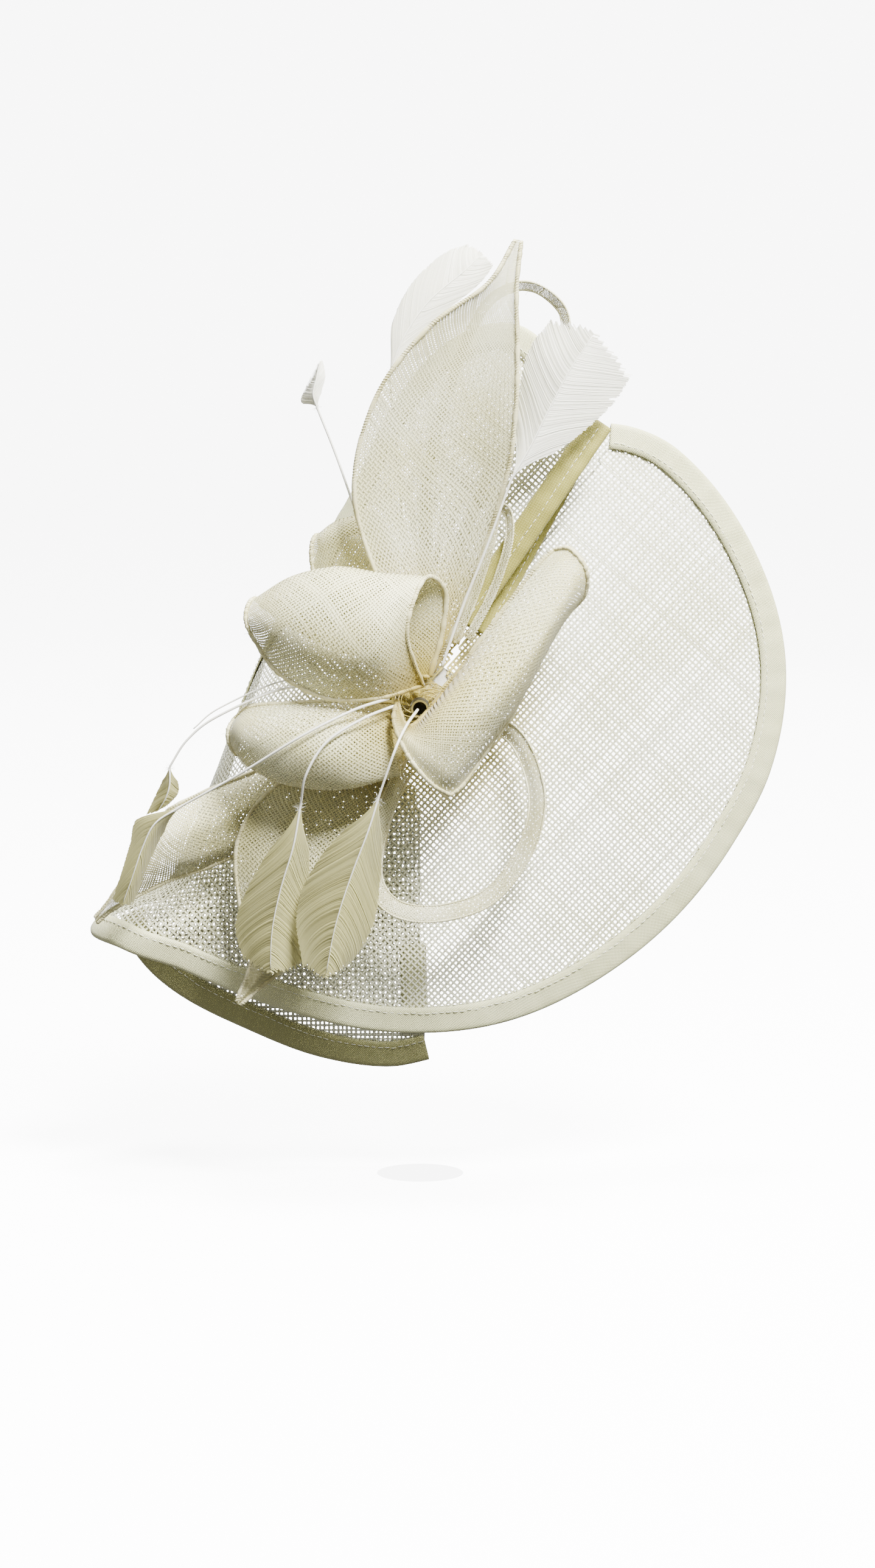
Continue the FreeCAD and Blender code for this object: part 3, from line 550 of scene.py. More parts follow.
span = np.arange(-192, 192, PITCH)
main = woven(first_turn, span, span, BRIM_THREAD, amp=0.2, loose=0.01)
tail = woven(overlap_turn, span[span > -30], span[span > -30], BRIM_THREAD, amp=0.2, loose=0.01)
brim = build("brim_straw", *joined([main, tail]), M_BRIM, "threads")
HIDE.append((brim, ["brim_sheet"]))


def under_place(a, b):
    r = np.maximum(np.hypot(a, b), 1e-3)
    th = np.degrees(np.arctan2(b, a)) % 360
    ok = (r > UNDER_INNER) & (r < along(UNDER_RIM, th) - RIM_INSET)
    ok &= (th > UNDER_FROM - 0.5) & (th < UNDER_TO - np.degrees(SLIT_INSET / r))
    return lay_under(r, th), ok


across = np.arange(-160, 10, PITCH)
upward = np.arange(-180, -10, PITCH)
threads = woven(under_place, across, upward, UNDER_THREAD, loose=0.01)
under = build("under_straw", *threads, M_UNDER_SHADED, "threads")
HIDE.append((under, ["under_sheet"]))


STITCH_STEP = 3.3
STITCH_LONG = 2.3


def tape(name, station, mat, stitch_at=9.4):
    """Folded tape: station(w) gives points and normals along the edge at w in from it."""
    # one face, the fold, the other face, then the slot that holds the cloth's edge
    half = [(BAND, 1.2), (BAND, 1.45), (BAND * 0.8, 1.5), (BAND * 0.6, 1.55), (BAND * 0.4, 1.6),
            (BAND * 0.22, 1.7), (1.3, 1.65), (0.5, 1.2), (0.12, 0.6)]
    shape = half + [(0.0, 0.0)] + [(w, -h) for w, h in half[::-1]]
    shape += [(BAND, -0.75), (BAND * 0.6, -0.75), (2.4, -0.75), (1.3, 0.0),
              (2.4, 0.75), (BAND * 0.6, 0.75), (BAND, 0.75)]
    rows, uvs = [], []
    s = np.concatenate([[0], np.cumsum(np.linalg.norm(np.diff(station(6.0)[0], axis=0), axis=1))])
    ripple = 0.10 * np.sin(s / 3.1) + 0.08 * np.sin(s / 1.7 + 1) + 0.12 * np.sin(s / 9.0)
    for k, (w, h) in enumerate(shape):
        p, n = station(w)
        puff = ripple[:, None] * (1 if 1 < k < 8 else 0) * (1 if h > 0 else -1)
        rows.append(p + n * h + n * puff)
        uvs.append(np.stack([s, np.full(len(s), w if h >= 0 else 2 * BAND - w)], -1))
    pts = np.stack(rows, 1)
    m, c = pts.shape[:2]
    quads = grid_quads(m, c, True)
    piece = build(name, pts.reshape(-1, 3), quads, mat, np.stack(uvs, 1).reshape(-1, 2))
    end_caps(piece)
    # a row of stitches on each face
    total = s[-1]
    starts = np.arange(3.0, total - 3.0, STITCH_STEP)
    lines = []
    p9, n9 = station(stitch_at)
    p6, _ = station(stitch_at - 1)
    for face in (1, -1):
        for a in starts:
            d = np.linspace(a, a + STITCH_LONG, 5)
            lift = np.array([1.42, 1.72, 1.8, 1.72, 1.42]) * face
            slip = rng.normal(0, 0.12)
            q = np.stack([np.interp(d, s, p9[:, i]) for i in range(3)], -1)
            n = unit(np.stack([np.interp(d, s, n9[:, i]) for i in range(3)], -1))
            w = unit(np.stack([np.interp(d, s, (p6 - p9)[:, i]) for i in range(3)], -1))
            lines.append(q + n * lift[:, None] + w * slip)
    v, q = tubes(lines, 0.2, 6, 0.8)
    build(name + "_stitches", v, q, M_STITCH)
    return piece


def end_caps(ob):
    """Closes the tape's two cut ends."""
    bm = bmesh.new()
    bm.from_mesh(ob.data)
    bmesh.ops.holes_fill(bm, edges=[e for e in bm.edges if e.is_boundary], sides=0)
    bmesh.ops.triangulate(bm, faces=[f for f in bm.faces if len(f.verts) > 4])
    bm.to_mesh(ob.data)
    bm.free()


def edge_station(place, table, angles):
    """Points and normals along an outline, for tape()."""
    def at(w):
        r, a = inward(table, angles, np.full(len(angles), float(w)))
        return place(r, a), normal_at(place, r, a)
    return at


def cut_station(place, radii, th, turn):
    """Points and normals along a straight cut at angle th, for tape(); turn says which side the cloth is."""
    def at(w):
        a = th + turn * np.degrees(np.arctan2(w, radii))
        far = np.hypot(radii, w)
        return place(far, a), normal_at(place, far, a)
    return at


clear_a = math.degrees((BAND + 0.4) / along(RIM, SLIT_UPPER))
clear_b = math.degrees((BAND + 0.4) / along(RIM, SLIT_LOWER))
rim_angles = spread(RIM, SLIT_UPPER + clear_a, SLIT_LOWER - clear_b, 620)
rim = tape("rim_tape", edge_station(lay, RIM, rim_angles), M_TAPE)
HIDE.append((rim, ["rim_binding"]))
top_rays = np.linspace(44, along(RIM, SLIT_UPPER), 90)
slit_a = tape("slit_tape_upper", cut_station(lay, top_rays, SLIT_UPPER, 1), M_TAPE_SLIT_SHADED, 5.2)
HIDE.append((slit_a, ["slit_binding_upper"]))
low_rays = np.linspace(44, along(RIM, SLIT_LOWER), 90)
slit_b = tape("slit_tape_lower", cut_station(lay, low_rays, SLIT_LOWER, -1), M_TAPE_SLIT_SHADED)
HIDE.append((slit_b, ["slit_binding_lower"]))
under_angles = spread(UNDER_RIM, UNDER_FROM, UNDER_TO, 150)
under_rim = tape("under_tape_rim", edge_station(lay_under, UNDER_RIM, under_angles), M_TAPE_UNDER_SHADED)
HIDE.append((under_rim, ["under_rim_binding"]))
side_rays = np.linspace(108, along(UNDER_RIM, UNDER_TO) - BAND - 2.6, 40)
under_side = tape("under_tape_side", cut_station(lay_under, side_rays, UNDER_TO, -1), M_TAPE)
HIDE.append((under_side, ["under_side_binding"]))


# ---------------- petals, leaves, loops ----------------
def weights(n, t):
    """Catmull-Rom weights of n given points for each t from 0 to 1."""
    t = np.clip(np.asarray(t, float), 0, 1).ravel()
    s = t * (n - 1)
    i = np.minimum(s.astype(int), n - 2)
    f = s - i
    w = np.zeros((len(t), n + 2))
    rows = np.arange(len(t))
    shares = (-f + 2 * f**2 - f**3, 2 - 5 * f**2 + 3 * f**3, f + 4 * f**2 - 3 * f**3, f**3 - f**2)
    for k, value in enumerate(shares):
        np.add.at(w, (rows, i + k), value * 0.5)
    w[:, 1] += 2 * w[:, 0]
    w[:, 2] -= w[:, 0]
    w[:, n] += 2 * w[:, n + 1]
    w[:, n - 1] -= w[:, n + 1]
    return w[:, 1:n + 1]


def surface(ribs, wrinkle=0.35, seed=0):
    """A smooth surface through rows of points, as a function of s down the rows and t along them."""
    ribs = np.array(ribs, float)
    m, n = ribs.shape[:2]

    def at(s, t):
        s, t = np.broadcast_arrays(np.asarray(s, float), np.asarray(t, float))
        shape = s.shape
        p = np.einsum("ki,kj,ijx->kx", weights(m, s), weights(n, t), ribs)
        s, t = s.ravel(), t.ravel()
        bump = np.sin(9 * s + 5 * t + seed) * np.sin(7 * t - 4 * s + 2 * seed)
        bump += 0.6 * np.sin(17 * t + 3 * s + seed) * np.sin(3 * s + seed)
        p[:, 1] += wrinkle * bump * np.clip(6 * s, 0, 1)
        return p.reshape(*shape, 3)
    return at


def cloth(name, ribs, mat, nodes, pitch=1.4, width=1.02, hem=1.0, hem_sides="t0 t1 s0", wrinkle=0.4, seed=0,
          skew=45, hem_mat=None, fuzz=120):
    """A woven petal or leaf, its threads slanting across it, with a rolled hem on the sides in hem_sides.

    Returns the cloth, its length, width and area in millimetres, and the hem."""
    at = surface(ribs, wrinkle, seed)
    s, t = np.meshgrid(np.linspace(0, 1, 40), np.linspace(0, 1, 40), indexing="ij")
    p = at(s, t)
    long = np.linalg.norm(np.diff(p, axis=0), axis=-1).sum(0).mean()
    wide = np.linalg.norm(np.diff(p, axis=1), axis=-1).sum(1)
    wide = np.percentile(wide, 75)
    c, k = math.cos(math.radians(skew)), math.sin(math.radians(skew))
    edge = 1.2

    def place(a, b):
        x, y = a * c - b * k, a * k + b * c
        ok = (x > -edge) & (x < long + edge) & (y > -edge) & (y < wide + edge)
        return at(np.clip(x / long, 0, 1), np.clip(y / wide, 0, 1)), ok
    corners = np.array([(0, 0), (long, 0), (0, wide), (long, wide)])
    a = corners[:, 0] * c + corners[:, 1] * k
    b = -corners[:, 0] * k + corners[:, 1] * c
    across = np.arange(a.min() - 1, a.max() + 1, pitch)
    down = np.arange(b.min() - 1, b.max() + 1, pitch)
    v, q = woven(place, across, down, width, amp=0.16, most=1.6)
    e = [np.linalg.norm(v[q[:, i]] - v[q[:, (i + 1) % 4]], axis=1) for i in range(4)]
    fine = (np.minimum(e[0], e[2]) > 0.02) & (np.minimum(e[1], e[3]) > 0.02)
    piece = build(name, v, q[fine], mat, "threads")
    HIDE.append((piece, nodes))
    n = 90
    line = np.linspace(0, 1, n)
    zero, one = np.zeros(n), np.ones(n)
    ways = {"t0": (line, zero), "t1": (line, one), "s0": (zero, line), "s1": (one, line)}
    lines = [at(*ways[side]) for side in hem_sides.split()]
    r = hem * (1 + 0.12 * np.sin(np.arange(n) * 0.9) + 0.1 * rng.normal(0, 1, n))
    extra = [tubes(lines, np.tile(r, (len(lines), 1)), 8, 0.8)]
    # threads wound over the hem, and loose ends standing out of it
    for ln in lines:
        wraps = []
        total = np.linalg.norm(np.diff(ln, axis=0), axis=1).sum()
        pos = np.concatenate([[0], np.cumsum(np.linalg.norm(np.diff(ln, axis=0), axis=1))])
        out, over = turn_frames(ln[None])
        for d in np.arange(1, total - 1.6, 1.3):
            u = np.linspace(d, d + 1.5, 5)
            middle = np.stack([np.interp(u, pos, ln[:, i]) for i in range(3)], -1)
            a = unit(np.stack([np.interp(u, pos, out[0, :, i]) for i in range(3)], -1))
            b = unit(np.stack([np.interp(u, pos, over[0, :, i]) for i in range(3)], -1))
            f = np.linspace(0, 3.6, 5)[:, None] + rng.uniform(0, 0.4)
            wraps.append(middle + (a * np.cos(f) + b * np.sin(f) * 0.8) * (hem + 0.05))
        if wraps:
            extra.append(tubes(wraps, 0.16, 4))
    hairs = []
    for _ in range(fuzz):
        ln = lines[rng.integers(len(lines))]
        i = rng.integers(2, n - 3)
        way = unit(rng.normal(0, 1, 3) + 0.8 * unit(ln[i + 1] - ln[i]))
        size = rng.uniform(0.8, 2.6)
        curl = rng.normal(0, 0.4, 3)
        f = np.linspace(0, 1, 4)[:, None]
        hairs.append(ln[i] + way * size * f + curl * f**2 * size * 0.6)
    extra.append(tubes(hairs, 0.07, 4))
    v, q = joined(extra)
    hem_piece = build(name + "_hem", v, q, hem_mat or M_HEM, np.full((len(v), 2), 500.0))
    step_a, step_b = np.diff(p, axis=0)[:, :-1], np.diff(p, axis=1)[:-1]
    area = np.linalg.norm(np.cross(step_a, step_b), axis=-1).sum()
    return piece, long, wide, area, hem_piece


PETALS = {
    "petal_upper_left": [
        [(-76.4, -24, 33), (-79, -26, 40), (-78, -23, 47),
         (-75, -18, 50), (-71, -15, 47), (-62, -14, 40), (-44, -14, 30)],
        [(-64, -30, 16), (-64, -40, 34), (-62, -38, 50),
         (-58, -27, 60), (-53, -18, 54), (-42, -15, 40), (-22, -15, 22)],
        [(-42, -34, 4.5), (-42, -50, 26), (-40, -48, 50),
         (-37, -33, 64), (-33, -20, 54), (-26, -16, 36), (-13, -16, 18)],
        [(-19, -34, 4.5), (-20, -52, 24), (-20, -50, 46),
         (-17, -36, 61), (-14, -23, 52), (-10, -18, 34), (-5, -16.5, 15)],
        [(1.5, -23, 10.5), (-5.6, -44, 32), (-2, -44, 50),
         (4, -34, 59.5), (11.5, -25, 53), (10, -19, 34), (4.5, -17, 14.5)],
    ],
    "petal_lower_left": [
        [(-84.5, -16, -4.5), (-87, -20, -9), (-87, -20, -15),
         (-83.5, -16, -20.5), (-79, -11, -19), (-73, -8, -15), (-63, -6, -10)],
        [(-77, -22, 1), (-80, -30, -6), (-80, -32, -16),
         (-77, -26, -27), (-73, -16, -25), (-66, -10, -18), (-55, -8, -11)],
        [(-60, -26, 2.5), (-60, -40, -6), (-60, -43, -20),
         (-59, -34, -34.5), (-57, -20, -30), (-50, -13, -20), (-39, -11, -10)],
        [(-36, -26, 3.6), (-36, -42, -8), (-36, -46, -24),
         (-35, -36, -36.5), (-34, -22, -31), (-30, -15, -20), (-23, -13.5, -9)],
        [(-13, -20, 3), (-13, -27, -8), (-11, -30, -20),
         (-9, -27, -30), (-8, -21, -27), (-8, -17, -18), (-9, -14.5, -7.5)],
    ],
    "petal_right": [
        [(-10.5, -25, 4), (-11.5, -37, -7), (-5, -44, -22), (5, -45, -34), (13.9, -40, -39.4)],
        [(-5, -31, -8), (-2, -42, -13), (6, -49, -21), (15, -47, -29), (20, -37, -34)],
        [(7, -21, 3), (10, -42, 1), (19, -52, -8), (27, -46, -17), (29, -32, -21)],
        [(30.6, -26, 35), (36, -44, 27), (43, -50, 15), (46.5, -40, 6), (44, -25, 1)],
        [(52.8, -30, 64), (59, -42, 56), (64, -44, 45), (63, -34, 35), (57, -22, 31)],
        [(61, -30, 72), (68, -36, 72), (75, -38, 63), (75, -32, 52), (67, -23, 43)],
    ],
    "petal_back": [
        [(-44, 1, 50), (-49, -5, 64), (-49.5, -7, 75), (-47, -3, 79.5), (-45, 4, 72)],
        [(-32, -4, 40), (-38, -8, 60), (-41, -11, 78), (-37, -7, 86.5), (-34, 3, 80)],
        [(-17, -8.5, 30), (-22, -9, 54), (-25, -11, 76), (-24, -7, 87), (-22, 1, 80)],
        [(-8, -9, 20), (-11, -9.5, 44), (-13, -10, 64), (-13, -7.5, 74), (-12, -3, 68)],
    ],
}
LEAVES = {
    "leaf_top": [
        [(-2, -12.5, 14.5), (0, -12.5, 15), (2, -12.5, 15.5), (4, -12.5, 16), (6, -12.5, 16.5)],
        [(-14, -16, 45.8), (-5, -14.5, 47), (3, -14, 48), (11, -14.5, 47), (19.5, -16.5, 45.8)],
        [(-29.7, -28, 96), (-12, -22, 97), (4, -21, 98), (22, -22, 99.5), (38.5, -29, 101)],
        [(-20, -34, 140), (-4, -27, 139), (12, -25, 138), (28, -27, 136), (43.5, -34, 134)],
        [(4, -34, 172), (15, -29, 170), (25, -27, 168), (35, -29, 166), (44.3, -33, 164)],
        [(30.6, -31, 192), (35, -29, 191.5), (38, -28, 191), (41, -29, 190.5), (44, -30, 190)],
        [(43.4, -27, 212.5), (44.1, -26.4, 212.6),
         (44.8, -26, 212.6), (45.5, -25.6, 212.4), (46.2, -25, 212)],
    ],
    "leaf_lower_left": [
        [(-16, -9.6, -2), (-15.5, -9.6, -3.5), (-15, -9.6, -5), (-14.5, -9.6, -6.5), (-14, -9.6, -8)],
        [(-66, -1, -24), (-64, -5, -31), (-61, -6, -38), (-57, -6, -45), (-53, -5.5, -50)],
        [(-108, -2, -42), (-107, -8, -50), (-104, -9, -58), (-99, -6, -66), (-94, 2, -71)],
        [(-120, 2, -52), (-122, -6, -60), (-122, -8, -68), (-120, -5, -74), (-116, 3, -79)],
        [(-141, 2, -85), (-141, 0, -86.5), (-140.5, -1, -88), (-140, 0, -89.5), (-139.5, 2, -91)],
        [(-149.5, 4, -95.5), (-149.3, 3.6, -96.2),
         (-149, 3.4, -97), (-148.7, 3.6, -97.6), (-148.4, 4, -98.2)],
    ],
    "leaf_lower": [
        [(-12, -11, -10.5), (-9.5, -11, -11.5), (-7, -11, -12.5), (-4.5, -11, -13), (-2, -11, -13.5)],
        [(-64, -12, -34), (-50, -13, -36), (-36, -12.5, -37), (-24, -11.5, -38), (-12, -11.5, -38)],
        [(-83, -12.5, -60), (-66, -15.5, -62), (-50, -15.5, -64), (-32, -13, -66), (-17, -9, -66)],
        [(-82, -7, -93), (-68, -11.5, -95), (-54, -12, -97), (-40, -10, -98), (-28, -5, -98)],
        [(-77, -7, -113), (-73.5, -9, -115.5), (-70, -10, -117.5), (-66, -9, -119), (-62, -7, -119)],
        [(-84, -8, -133.8), (-83.6, -8.4, -134.2),
         (-83.2, -8.6, -134.6), (-82.6, -8.8, -134.9), (-82, -9, -135.2)],
    ],
}
SHEETS = []  # (what cloth() returned, how it is held)
for i, (name, ribs) in enumerate(PETALS.items()):
    sides = "t0 t1 s0 s1" if name in ("petal_upper_left", "petal_right") else "t0 t1 s0"
    got = cloth(name + "_straw", ribs, M_PETAL, [name], hem=1.2, hem_sides=sides, wrinkle=0.5, seed=i + 1,
                skew=42 + 5 * i)
    SHEETS.append((got, "folded"))
for i, (name, ribs) in enumerate(LEAVES.items()):
    tall = i == 0
    # the lower leaves take the darker copy, with painted shade
    got = cloth(name + "_straw", ribs, M_LEAF if tall else M_LEAF_SHADED, [name], hem=1.25 if tall else 1.05,
                hem_sides="t0 t1", wrinkle=0.6, seed=i + 7, skew=40 + 4 * i)
    SHEETS.append((got, "stretched"))


def gathers(a, b):
    """The petals' feet, gathered in pleats round the core."""
    turn, f = a / 7.0, np.clip(b / 11.0, 0, 1)
    r = 13.5 - 9.1 * f
    pleat = np.sin(11 * turn + 1.2 * np.sin(2 * turn)) * (1.5 - 0.7 * f)
    y = -11.2 - 7.6 * f ** 0.8 - pleat
    ok = (b > -0.4) & (b < 11.4)
    return np.stack([r * np.cos(turn), y, r * np.sin(turn) + 1.0], -1), ok


threads = woven(gathers, np.arange(0, 44.4, 0.62), np.arange(-0.4, 11.8, 0.8), 0.55, amp=0.1)
gather = build("heart_gathers", *threads, M_PETAL, "threads")
knots = []
for k in range(9):
    f = np.linspace(0, 1, 24)
    turn = k * 0.7 + f * 2.4 + rng.normal(0, 0.1)
    r = 13.0 - 7.6 * f + 0.6 * np.sin(9 * f + k)
    y = -13.2 - 7.4 * f - 1.2 * np.sin(math.pi * f)
    knots.append(np.stack([r * np.cos(turn), y, r * np.sin(turn) + 1.0], -1))
v, q = tubes(knots, 0.28, 5)
knot = build("heart_threads", v, q, M_HEM, np.full((len(v), 2), 500.0))

LOOPS = {  # width, tilt in degrees, middle line
    "loop_right": (8.0, 25, [
        (18, -13, -5), (34, -13, -7), (45, -16, -15), (52, -20, -32), (52.8, -22, -48.6), (45.8, -22, -68),
        (30.6, -22, -86), (8.3, -22, -93), (-10, -21, -91),
        (-20, -20, -80), (-20, -18, -62), (-14, -16, -42), (-7, -14.6, -28),
    ]),
    "loop_top": (5.0, 45, [
        (4, -9.6, 26), (2, -11, 66), (4, -15, 108),
        (14, -18, 148), (29, -20, 182), (44.4, -20, 192), (57, -19.5, 189),
        (66, -19, 178), (64, -19, 158), (51, -19.5, 136),
        (34, -18, 112), (20, -13.5, 78), (12, -10.6, 46), (9, -9.4, 28),
    ]),
    "loop_small": (4.0, 40, [
        (16, -11, 30), (25, -14, 52), (32, -18, 74), (34.6, -19.5, 87), (37.6, -20, 91.5), (40.6, -19.5, 87),
        (40, -18.5, 74), (33, -15.5, 53), (22, -12, 32),
    ]),
}
for i, (name, (width, tilt, points)) in enumerate(LOOPS.items()):
    points = np.array(points, float)
    n = 4 * len(points)
    line = weights(len(points), np.linspace(0, 1, n)) @ points
    tan = np.gradient(line, axis=0)
    way = unit(np.stack([tan[:, 2], 0 * tan[:, 0], -tan[:, 0]], -1)) * math.cos(math.radians(tilt))
    way = way + np.array([0, math.sin(math.radians(tilt)), 0])
    ribs = np.stack([line + way * width * k / 2 for k in (-1, -0.5, 0, 0.5, 1)], 1)
    crown = np.array([0, 0.5, 0.8, 0.5, 0]) * 0.8
    ribs[:, :, 1] -= crown[None, :]
    got = cloth(name + "_straw", ribs, M_LOOP, [name], pitch=1.05, width=0.74, hem=0.6, hem_sides="t0 t1",
                wrinkle=0.12, seed=i, skew=38, hem_mat=M_LOOP, fuzz=40)
    SHEETS.append((got, "folded"))


# ---------------- feathers ----------------
FEATHERS = {  # the quill's points, then the vane's rows from its foot to its tip
    "feather_top": (
        [(-4, -9.8, 28), (-7, -13, 70), (-10, -18, 112), (-13.9, -23, 151)],
        [
            [(-15, -22.4, 151.5), (-13.9, -22.6, 151), (-12.8, -22.4, 151.5)],
            [(-13.5, -20, 172), (-7.5, -22.5, 168), (-3, -21, 165)],
            [(-5, -18, 192), (4, -21, 185), (10, -20, 179)],
            [(10, -15, 207), (20, -18, 199), (27, -19, 193)],
            [(23, -12, 212.5), (29, -14, 208), (34.2, -17, 202.8)],
        ],
    ),
    "feather_right": (
        [(10, -20, 19), (19.4, -25, 46), (30.6, -31, 73.6), (41.7, -35.6, 104.2)],
        [
            [(40.7, -35, 104.6), (41.7, -35.2, 104.2), (42.8, -35, 104)],
            [(43, -32, 122), (50, -36, 118), (58, -33, 113.5)],
            [(44.8, -30, 142), (59, -36, 136), (74, -31, 125)],
            [(49, -28, 162), (68, -35, 153), (88, -28, 138)],
            [(60, -26, 177.5), (80, -32, 171), (96.5, -26, 151.5)],
        ],
    ),
    "feather_small": (
        [(-7, -9.8, 24), (-15, -13, 50), (-22, -15.6, 70),
         (-29.2, -20, 90), (-38, -21, 115), (-46.7, -20.8, 136.8)],
        [
            [(-47.4, -20.3, 137), (-46.7, -20.4, 136.8), (-46, -20.3, 137)],
            [(-54, -18, 139.5), (-48.5, -22, 143), (-44.5, -20, 145)],
            [(-52, -17, 146.5), (-47, -22, 150), (-43, -20, 151.5)],
            [(-46.2, -19, 157.4), (-45.3, -20.5, 158.3), (-44.4, -20, 158.7)],
        ],
    ),
    "feather_lower_1": (
        [(-12, -29, 1), (-26, -43, -5), (-41.7, -49, -15.3), (-51, -48, -30), (-53.6, -39.5, -43)],
        [
            [(-54.7, -38.8, -43.2), (-53.6, -39, -42.8), (-52.5, -38.8, -43)],
            [(-66, -32, -61), (-57, -36, -62), (-50, -32, -62)],
            [(-77, -26, -79), (-63, -31, -82), (-50, -26, -82)],
            [(-84, -21, -98), (-67, -26, -101), (-50, -21, -100)],
            [(-80, -18, -115), (-68, -21, -121), (-55, -18, -119)],
        ],
    ),
    "feather_lower_2": (
        [(-1, -23.5, -0.5), (-6, -42, -8), (-11, -51, -19), (-18, -46.6, -38.9)],
        [
            [(-19, -46, -39.2), (-18, -46.2, -38.8), (-17, -46, -39)],
            [(-31, -41, -52), (-23, -44, -55), (-16.8, -40, -56)],
            [(-47, -35, -70), (-31, -40, -76), (-17.6, -34, -78)],
            [(-56, -30, -92), (-38, -36, -98), (-21.5, -30, -100)],
            [(-53, -27, -118), (-43, -30, -123), (-32, -27, -117)],
        ],
    ),
    "feather_left_1": (
        [(-14, -32, 4.5), (-30, -42, -1), (-52.8, -48.5, -12.5), (-80.6, -37, -29.2), (-108.3, -26.6, -44.4)],
        [
            [(-109, -26, -43.8), (-108.3, -26.2, -44.4), (-107.8, -26, -45.4)],
            [(-128, -20, -49.5), (-120, -24, -52), (-115.5, -20, -55)],
            [(-132, -17, -62), (-126, -21, -63), (-120.5, -17, -64)],
            [(-136.5, -14, -76), (-131, -17, -77), (-126, -14, -77)],
            [(-140.5, -10, -88), (-136, -12, -90), (-131.5, -10, -90.5)],
        ],
    ),
    "feather_left_2": (
        [(-13, -20.5, 8), (-36, -25, 9.2), (-61.7, -26, 9),
         (-91.7, -22, -3.4), (-105.6, -20, -14), (-113.9, -17.6, -26.4)],
        [
            [(-114.8, -17, -27), (-113.9, -17.2, -26.4), (-113, -17, -27)],
            [(-118, -13, -34), (-114, -16, -34.5), (-110, -13, -34)],
            [(-121.5, -11, -41), (-116, -14, -41), (-110.5, -11, -39)],
            [(-125, -9, -48.5), (-119.5, -11, -46.5), (-115, -9, -44)],
        ],
    ),
}
BARE = [(-13, -18.5, 11.2), (-36, -22, 13.4), (-62, -23.4, 12.6), (-91, -19.4, 0.4), (-103, -17, -9)]


def feather(name, stem, ribs, low):
    """A vane of single barbs on a quill; low takes the darker feather material, a copy with painted shade."""
    at = surface(ribs, 0.0)
    spine = at(np.linspace(0, 1, 60), np.full(60, 0.5))
    size = np.linalg.norm(np.diff(spine, axis=0), axis=1).sum()
    count = int(size / 0.42)
    steps = 9
    k = np.linspace(0, 1, steps)[None, :]
    parts = []
    splits = rng.uniform(0.15, 0.95, 5)
    for way in (-1, 1):
        s0 = np.linspace(0.01, 0.995, count)[:, None]
        slant = 0.27 * (1 - 0.25 * s0)
        reach = rng.normal(0.985, 0.012, (count, 1)).clip(0.9, 1.0)
        reach = reach - 0.10 * (np.abs(s0 - splits[2 if way < 0 else 3]) < 0.006)
        sway = 0.004 * np.sin(s0 * 37 + way) + 0.003 * np.sin(s0 * 90)
        kk = k * reach
        s = s0 + slant * kk ** 1.35 + sway * kk
        s = np.minimum(s, 1.0)
        t = 0.5 + way * 0.5 * kk
        c = at(s, t)
        tip = rng.uniform(0.0, 1.0, (count, 1))
        ok = (s0 + slant * kk ** 1.35) < 1.0 - 0.028 * tip
        tang = np.gradient(c, axis=1)
        along_vane = at(np.clip(s + 0.02, 0, 1), t) - at(np.clip(s - 0.02, 0, 1), t)
        up = unit(np.cross(along_vane, at(s, t + 0.02) - at(s, t - 0.02)))
        side = unit(np.cross(tang, up)) * (0.30 - 0.12 * k[..., None] ** 3)
        side = side + up * (0.10 * rng.normal(1, 0.5, (count, 1, 1)))
        c = c + up * 0.05 * rng.normal(0, 1, (count, 1, 1))
        parts.append(ribbons(c, side, ok))
    vane = build(name + "_barbs", *joined(parts), M_FEATHER_SHADED if low else M_FEATHER)
    HIDE.append((vane, [name + "_vane"]))
    stem = np.array(stem, float)
    line = weights(len(stem), np.linspace(0, 1, 50)) @ stem
    quill = np.vstack([line[:-1], spine[1:-1:2] + np.array([0, -0.12, 0])])
    r = np.interp(np.arange(len(quill)), [0, 48, len(quill) - 1], [0.7, 0.52, 0.14])
    v, q = tubes([quill], r[None], 8)
    down = []
    for _ in range(26):
        f = rng.uniform(0, 0.06)
        base = at(f, 0.5)
        w = unit(rng.normal(0, 1, 3) * [1, 0.5, 1])
        g = np.linspace(0, 1, 4)[:, None]
        down.append(base + w * g * rng.uniform(1.2, 3.0) + rng.normal(0, 0.5, 3) * g**2)
    piece = build(name + "_shaft", *joined([(v, q), tubes(down, 0.05, 4)]), M_QUILL)
    HIDE.append((piece, [name + "_quill"]))


for name, (stem, ribs) in FEATHERS.items():
    # the lower and left feathers get the darker copy, with painted shade
    feather(name, stem, ribs, "lower" in name or "left" in name)
line = weights(len(BARE), np.linspace(0, 1, 60)) @ np.array(BARE, float)
piece = build("quill_bare_shaft", *tubes([line], np.linspace(0.56, 0.32, 60)[None], 8), M_QUILL)
HIDE.append((piece, ["quill_bare"]))


# ---------------- CAD pieces kept as they are ----------------
KEPT = {
    "rim_wire": M_WIRE, "base_pad": M_FELT, "flower_disc": M_FELT, "flower_core": M_HEM, "comb": M_CLEAR,
    "clip_base": M_NICKEL, "clip_lever": M_NICKEL, "clip_pin": M_NICKEL, "clip_spring": M_NICKEL,
    "clip_spring_arm": M_NICKEL,
}
for name, mat in KEPT.items():
    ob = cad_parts[name]
    ob.data.materials.clear()
    ob.data.materials.append(mat)

for piece, nodes in HIDE:
    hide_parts(*nodes)


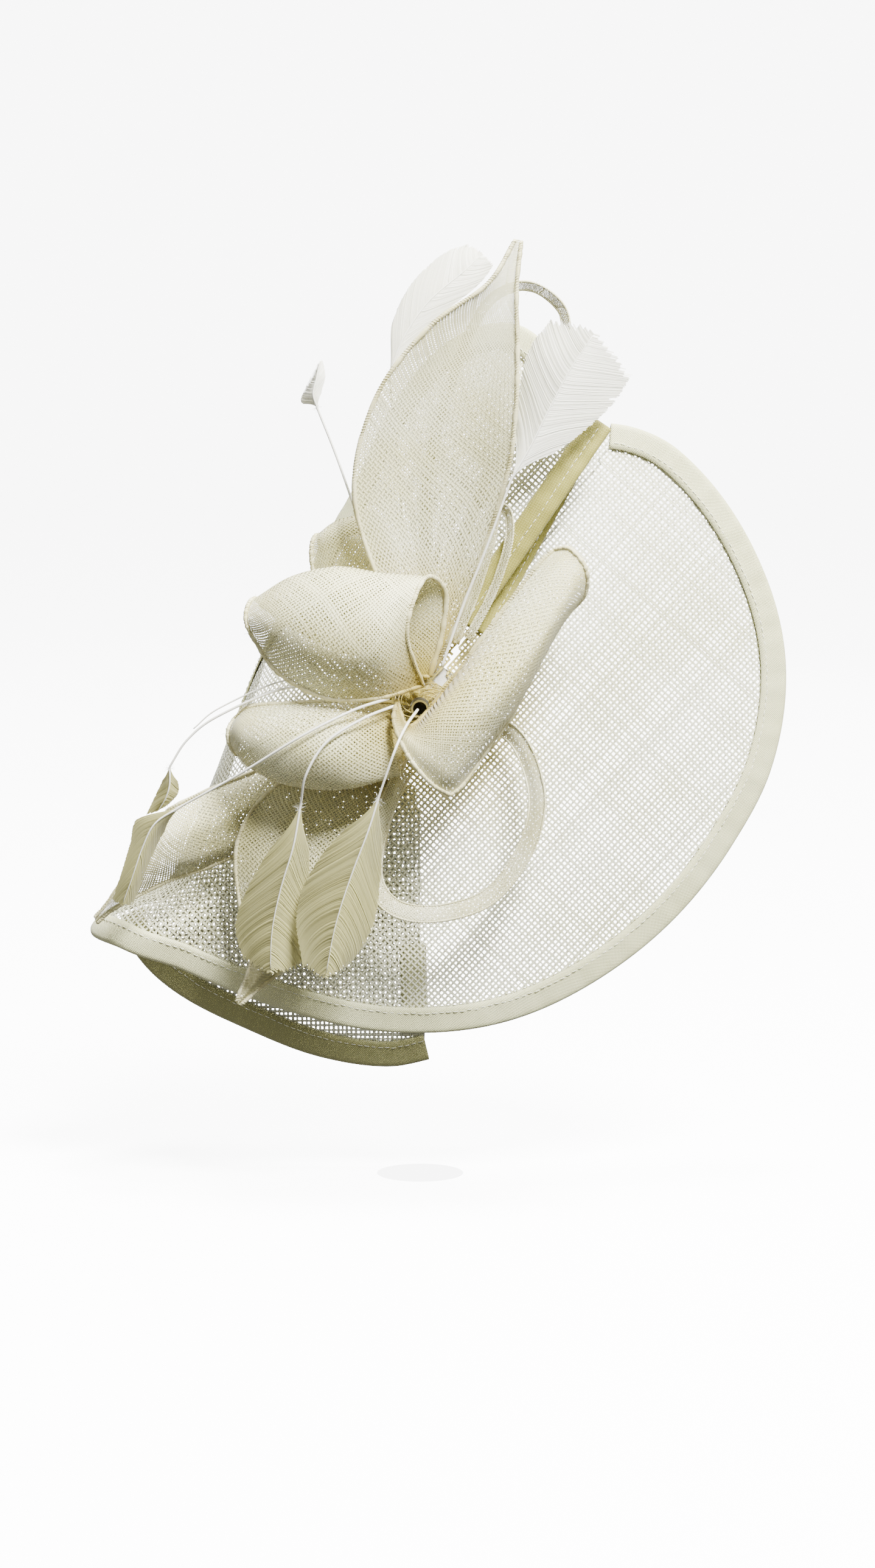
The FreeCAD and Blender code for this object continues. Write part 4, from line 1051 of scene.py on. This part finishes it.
def cut(table, first, last, inner, place):
    """A sheet's flat size and area, in metres."""
    th = np.linspace(first, last, 400)
    f = np.linspace(0, 1, 60)[:, None]
    p = place(inner + (along(table, th) - inner) * f, np.broadcast_to(th, (60, 400)))
    a, b = np.diff(p, axis=0)[:, :-1], np.diff(p, axis=1)[:-1]
    r = along(table, th)
    x, z = r * np.cos(np.radians(th)), r * np.sin(np.radians(th))
    corner = 0.0 if inner < 20 else inner * -0.7  # the inner end counts in the box too
    size = (max(x.max(), corner) - min(x.min(), corner), max(z.max(), corner) - min(z.min(), corner))
    return (size[0] / 1000, size[1] / 1000), np.linalg.norm(np.cross(a, b), axis=-1).sum() / 1e6


size, area = cut(RIM, SLIT_UPPER, SLIT_LOWER, 7.0, lay)
size, area = cut(UNDER_RIM, UNDER_FROM, UNDER_TO, UNDER_INNER, lay_under)
TAPES = (
    (rim, edge_station(lay, RIM, rim_angles), brim),
    (slit_a, cut_station(lay, top_rays, SLIT_UPPER, 1), brim),
    (slit_b, cut_station(lay, low_rays, SLIT_LOWER, -1), brim),
    (under_rim, edge_station(lay_under, UNDER_RIM, under_angles), under),
    (under_side, cut_station(lay_under, side_rays, UNDER_TO, -1), under),
)
for piece, stations, on in TAPES:
    long = np.linalg.norm(np.diff(stations(6.0)[0], axis=0), axis=1).sum() / 1000
for (piece, long, wide, area, hem_piece), held in SHEETS:
    flat = (wide / 1000, long / 1000)
    if flat[0] < 0.01:
        continue  # a narrow strap

# a pale floor that curves up all round
FLAT_TO = 3.4
CURVE = 1.6
rows = [(0.02, 0.0), (1.2, 0.0), (FLAT_TO, 0.0)]
for a in np.linspace(0.1, math.pi / 2, 12):
    rows.append((FLAT_TO + CURVE * math.sin(a), CURVE - CURVE * math.cos(a)))
rows.append((FLAT_TO + CURVE, 9.0))
turns = 96
points = []
for r, z in rows:
    for k in range(turns):
        angle = 2 * math.pi * k / turns
        points.append((r * math.cos(angle), r * math.sin(angle), FLOOR + z))
me = bpy.data.meshes.new("floor")
me.from_pydata(points, [], [list(range(turns))] + grid_quads(len(rows), turns, True).tolist())
for f in me.polygons:
    f.use_smooth = True
floor = bpy.data.objects.new("floor", me)
scene.collection.objects.link(floor)
me.materials.append(M_FLOOR)
M_FLOOR.node_tree.nodes["Principled BSDF"].inputs["Emission Color"].default_value = (1, 1, 1, 1)
floor.visible_diffuse = False
floor.visible_glossy = False
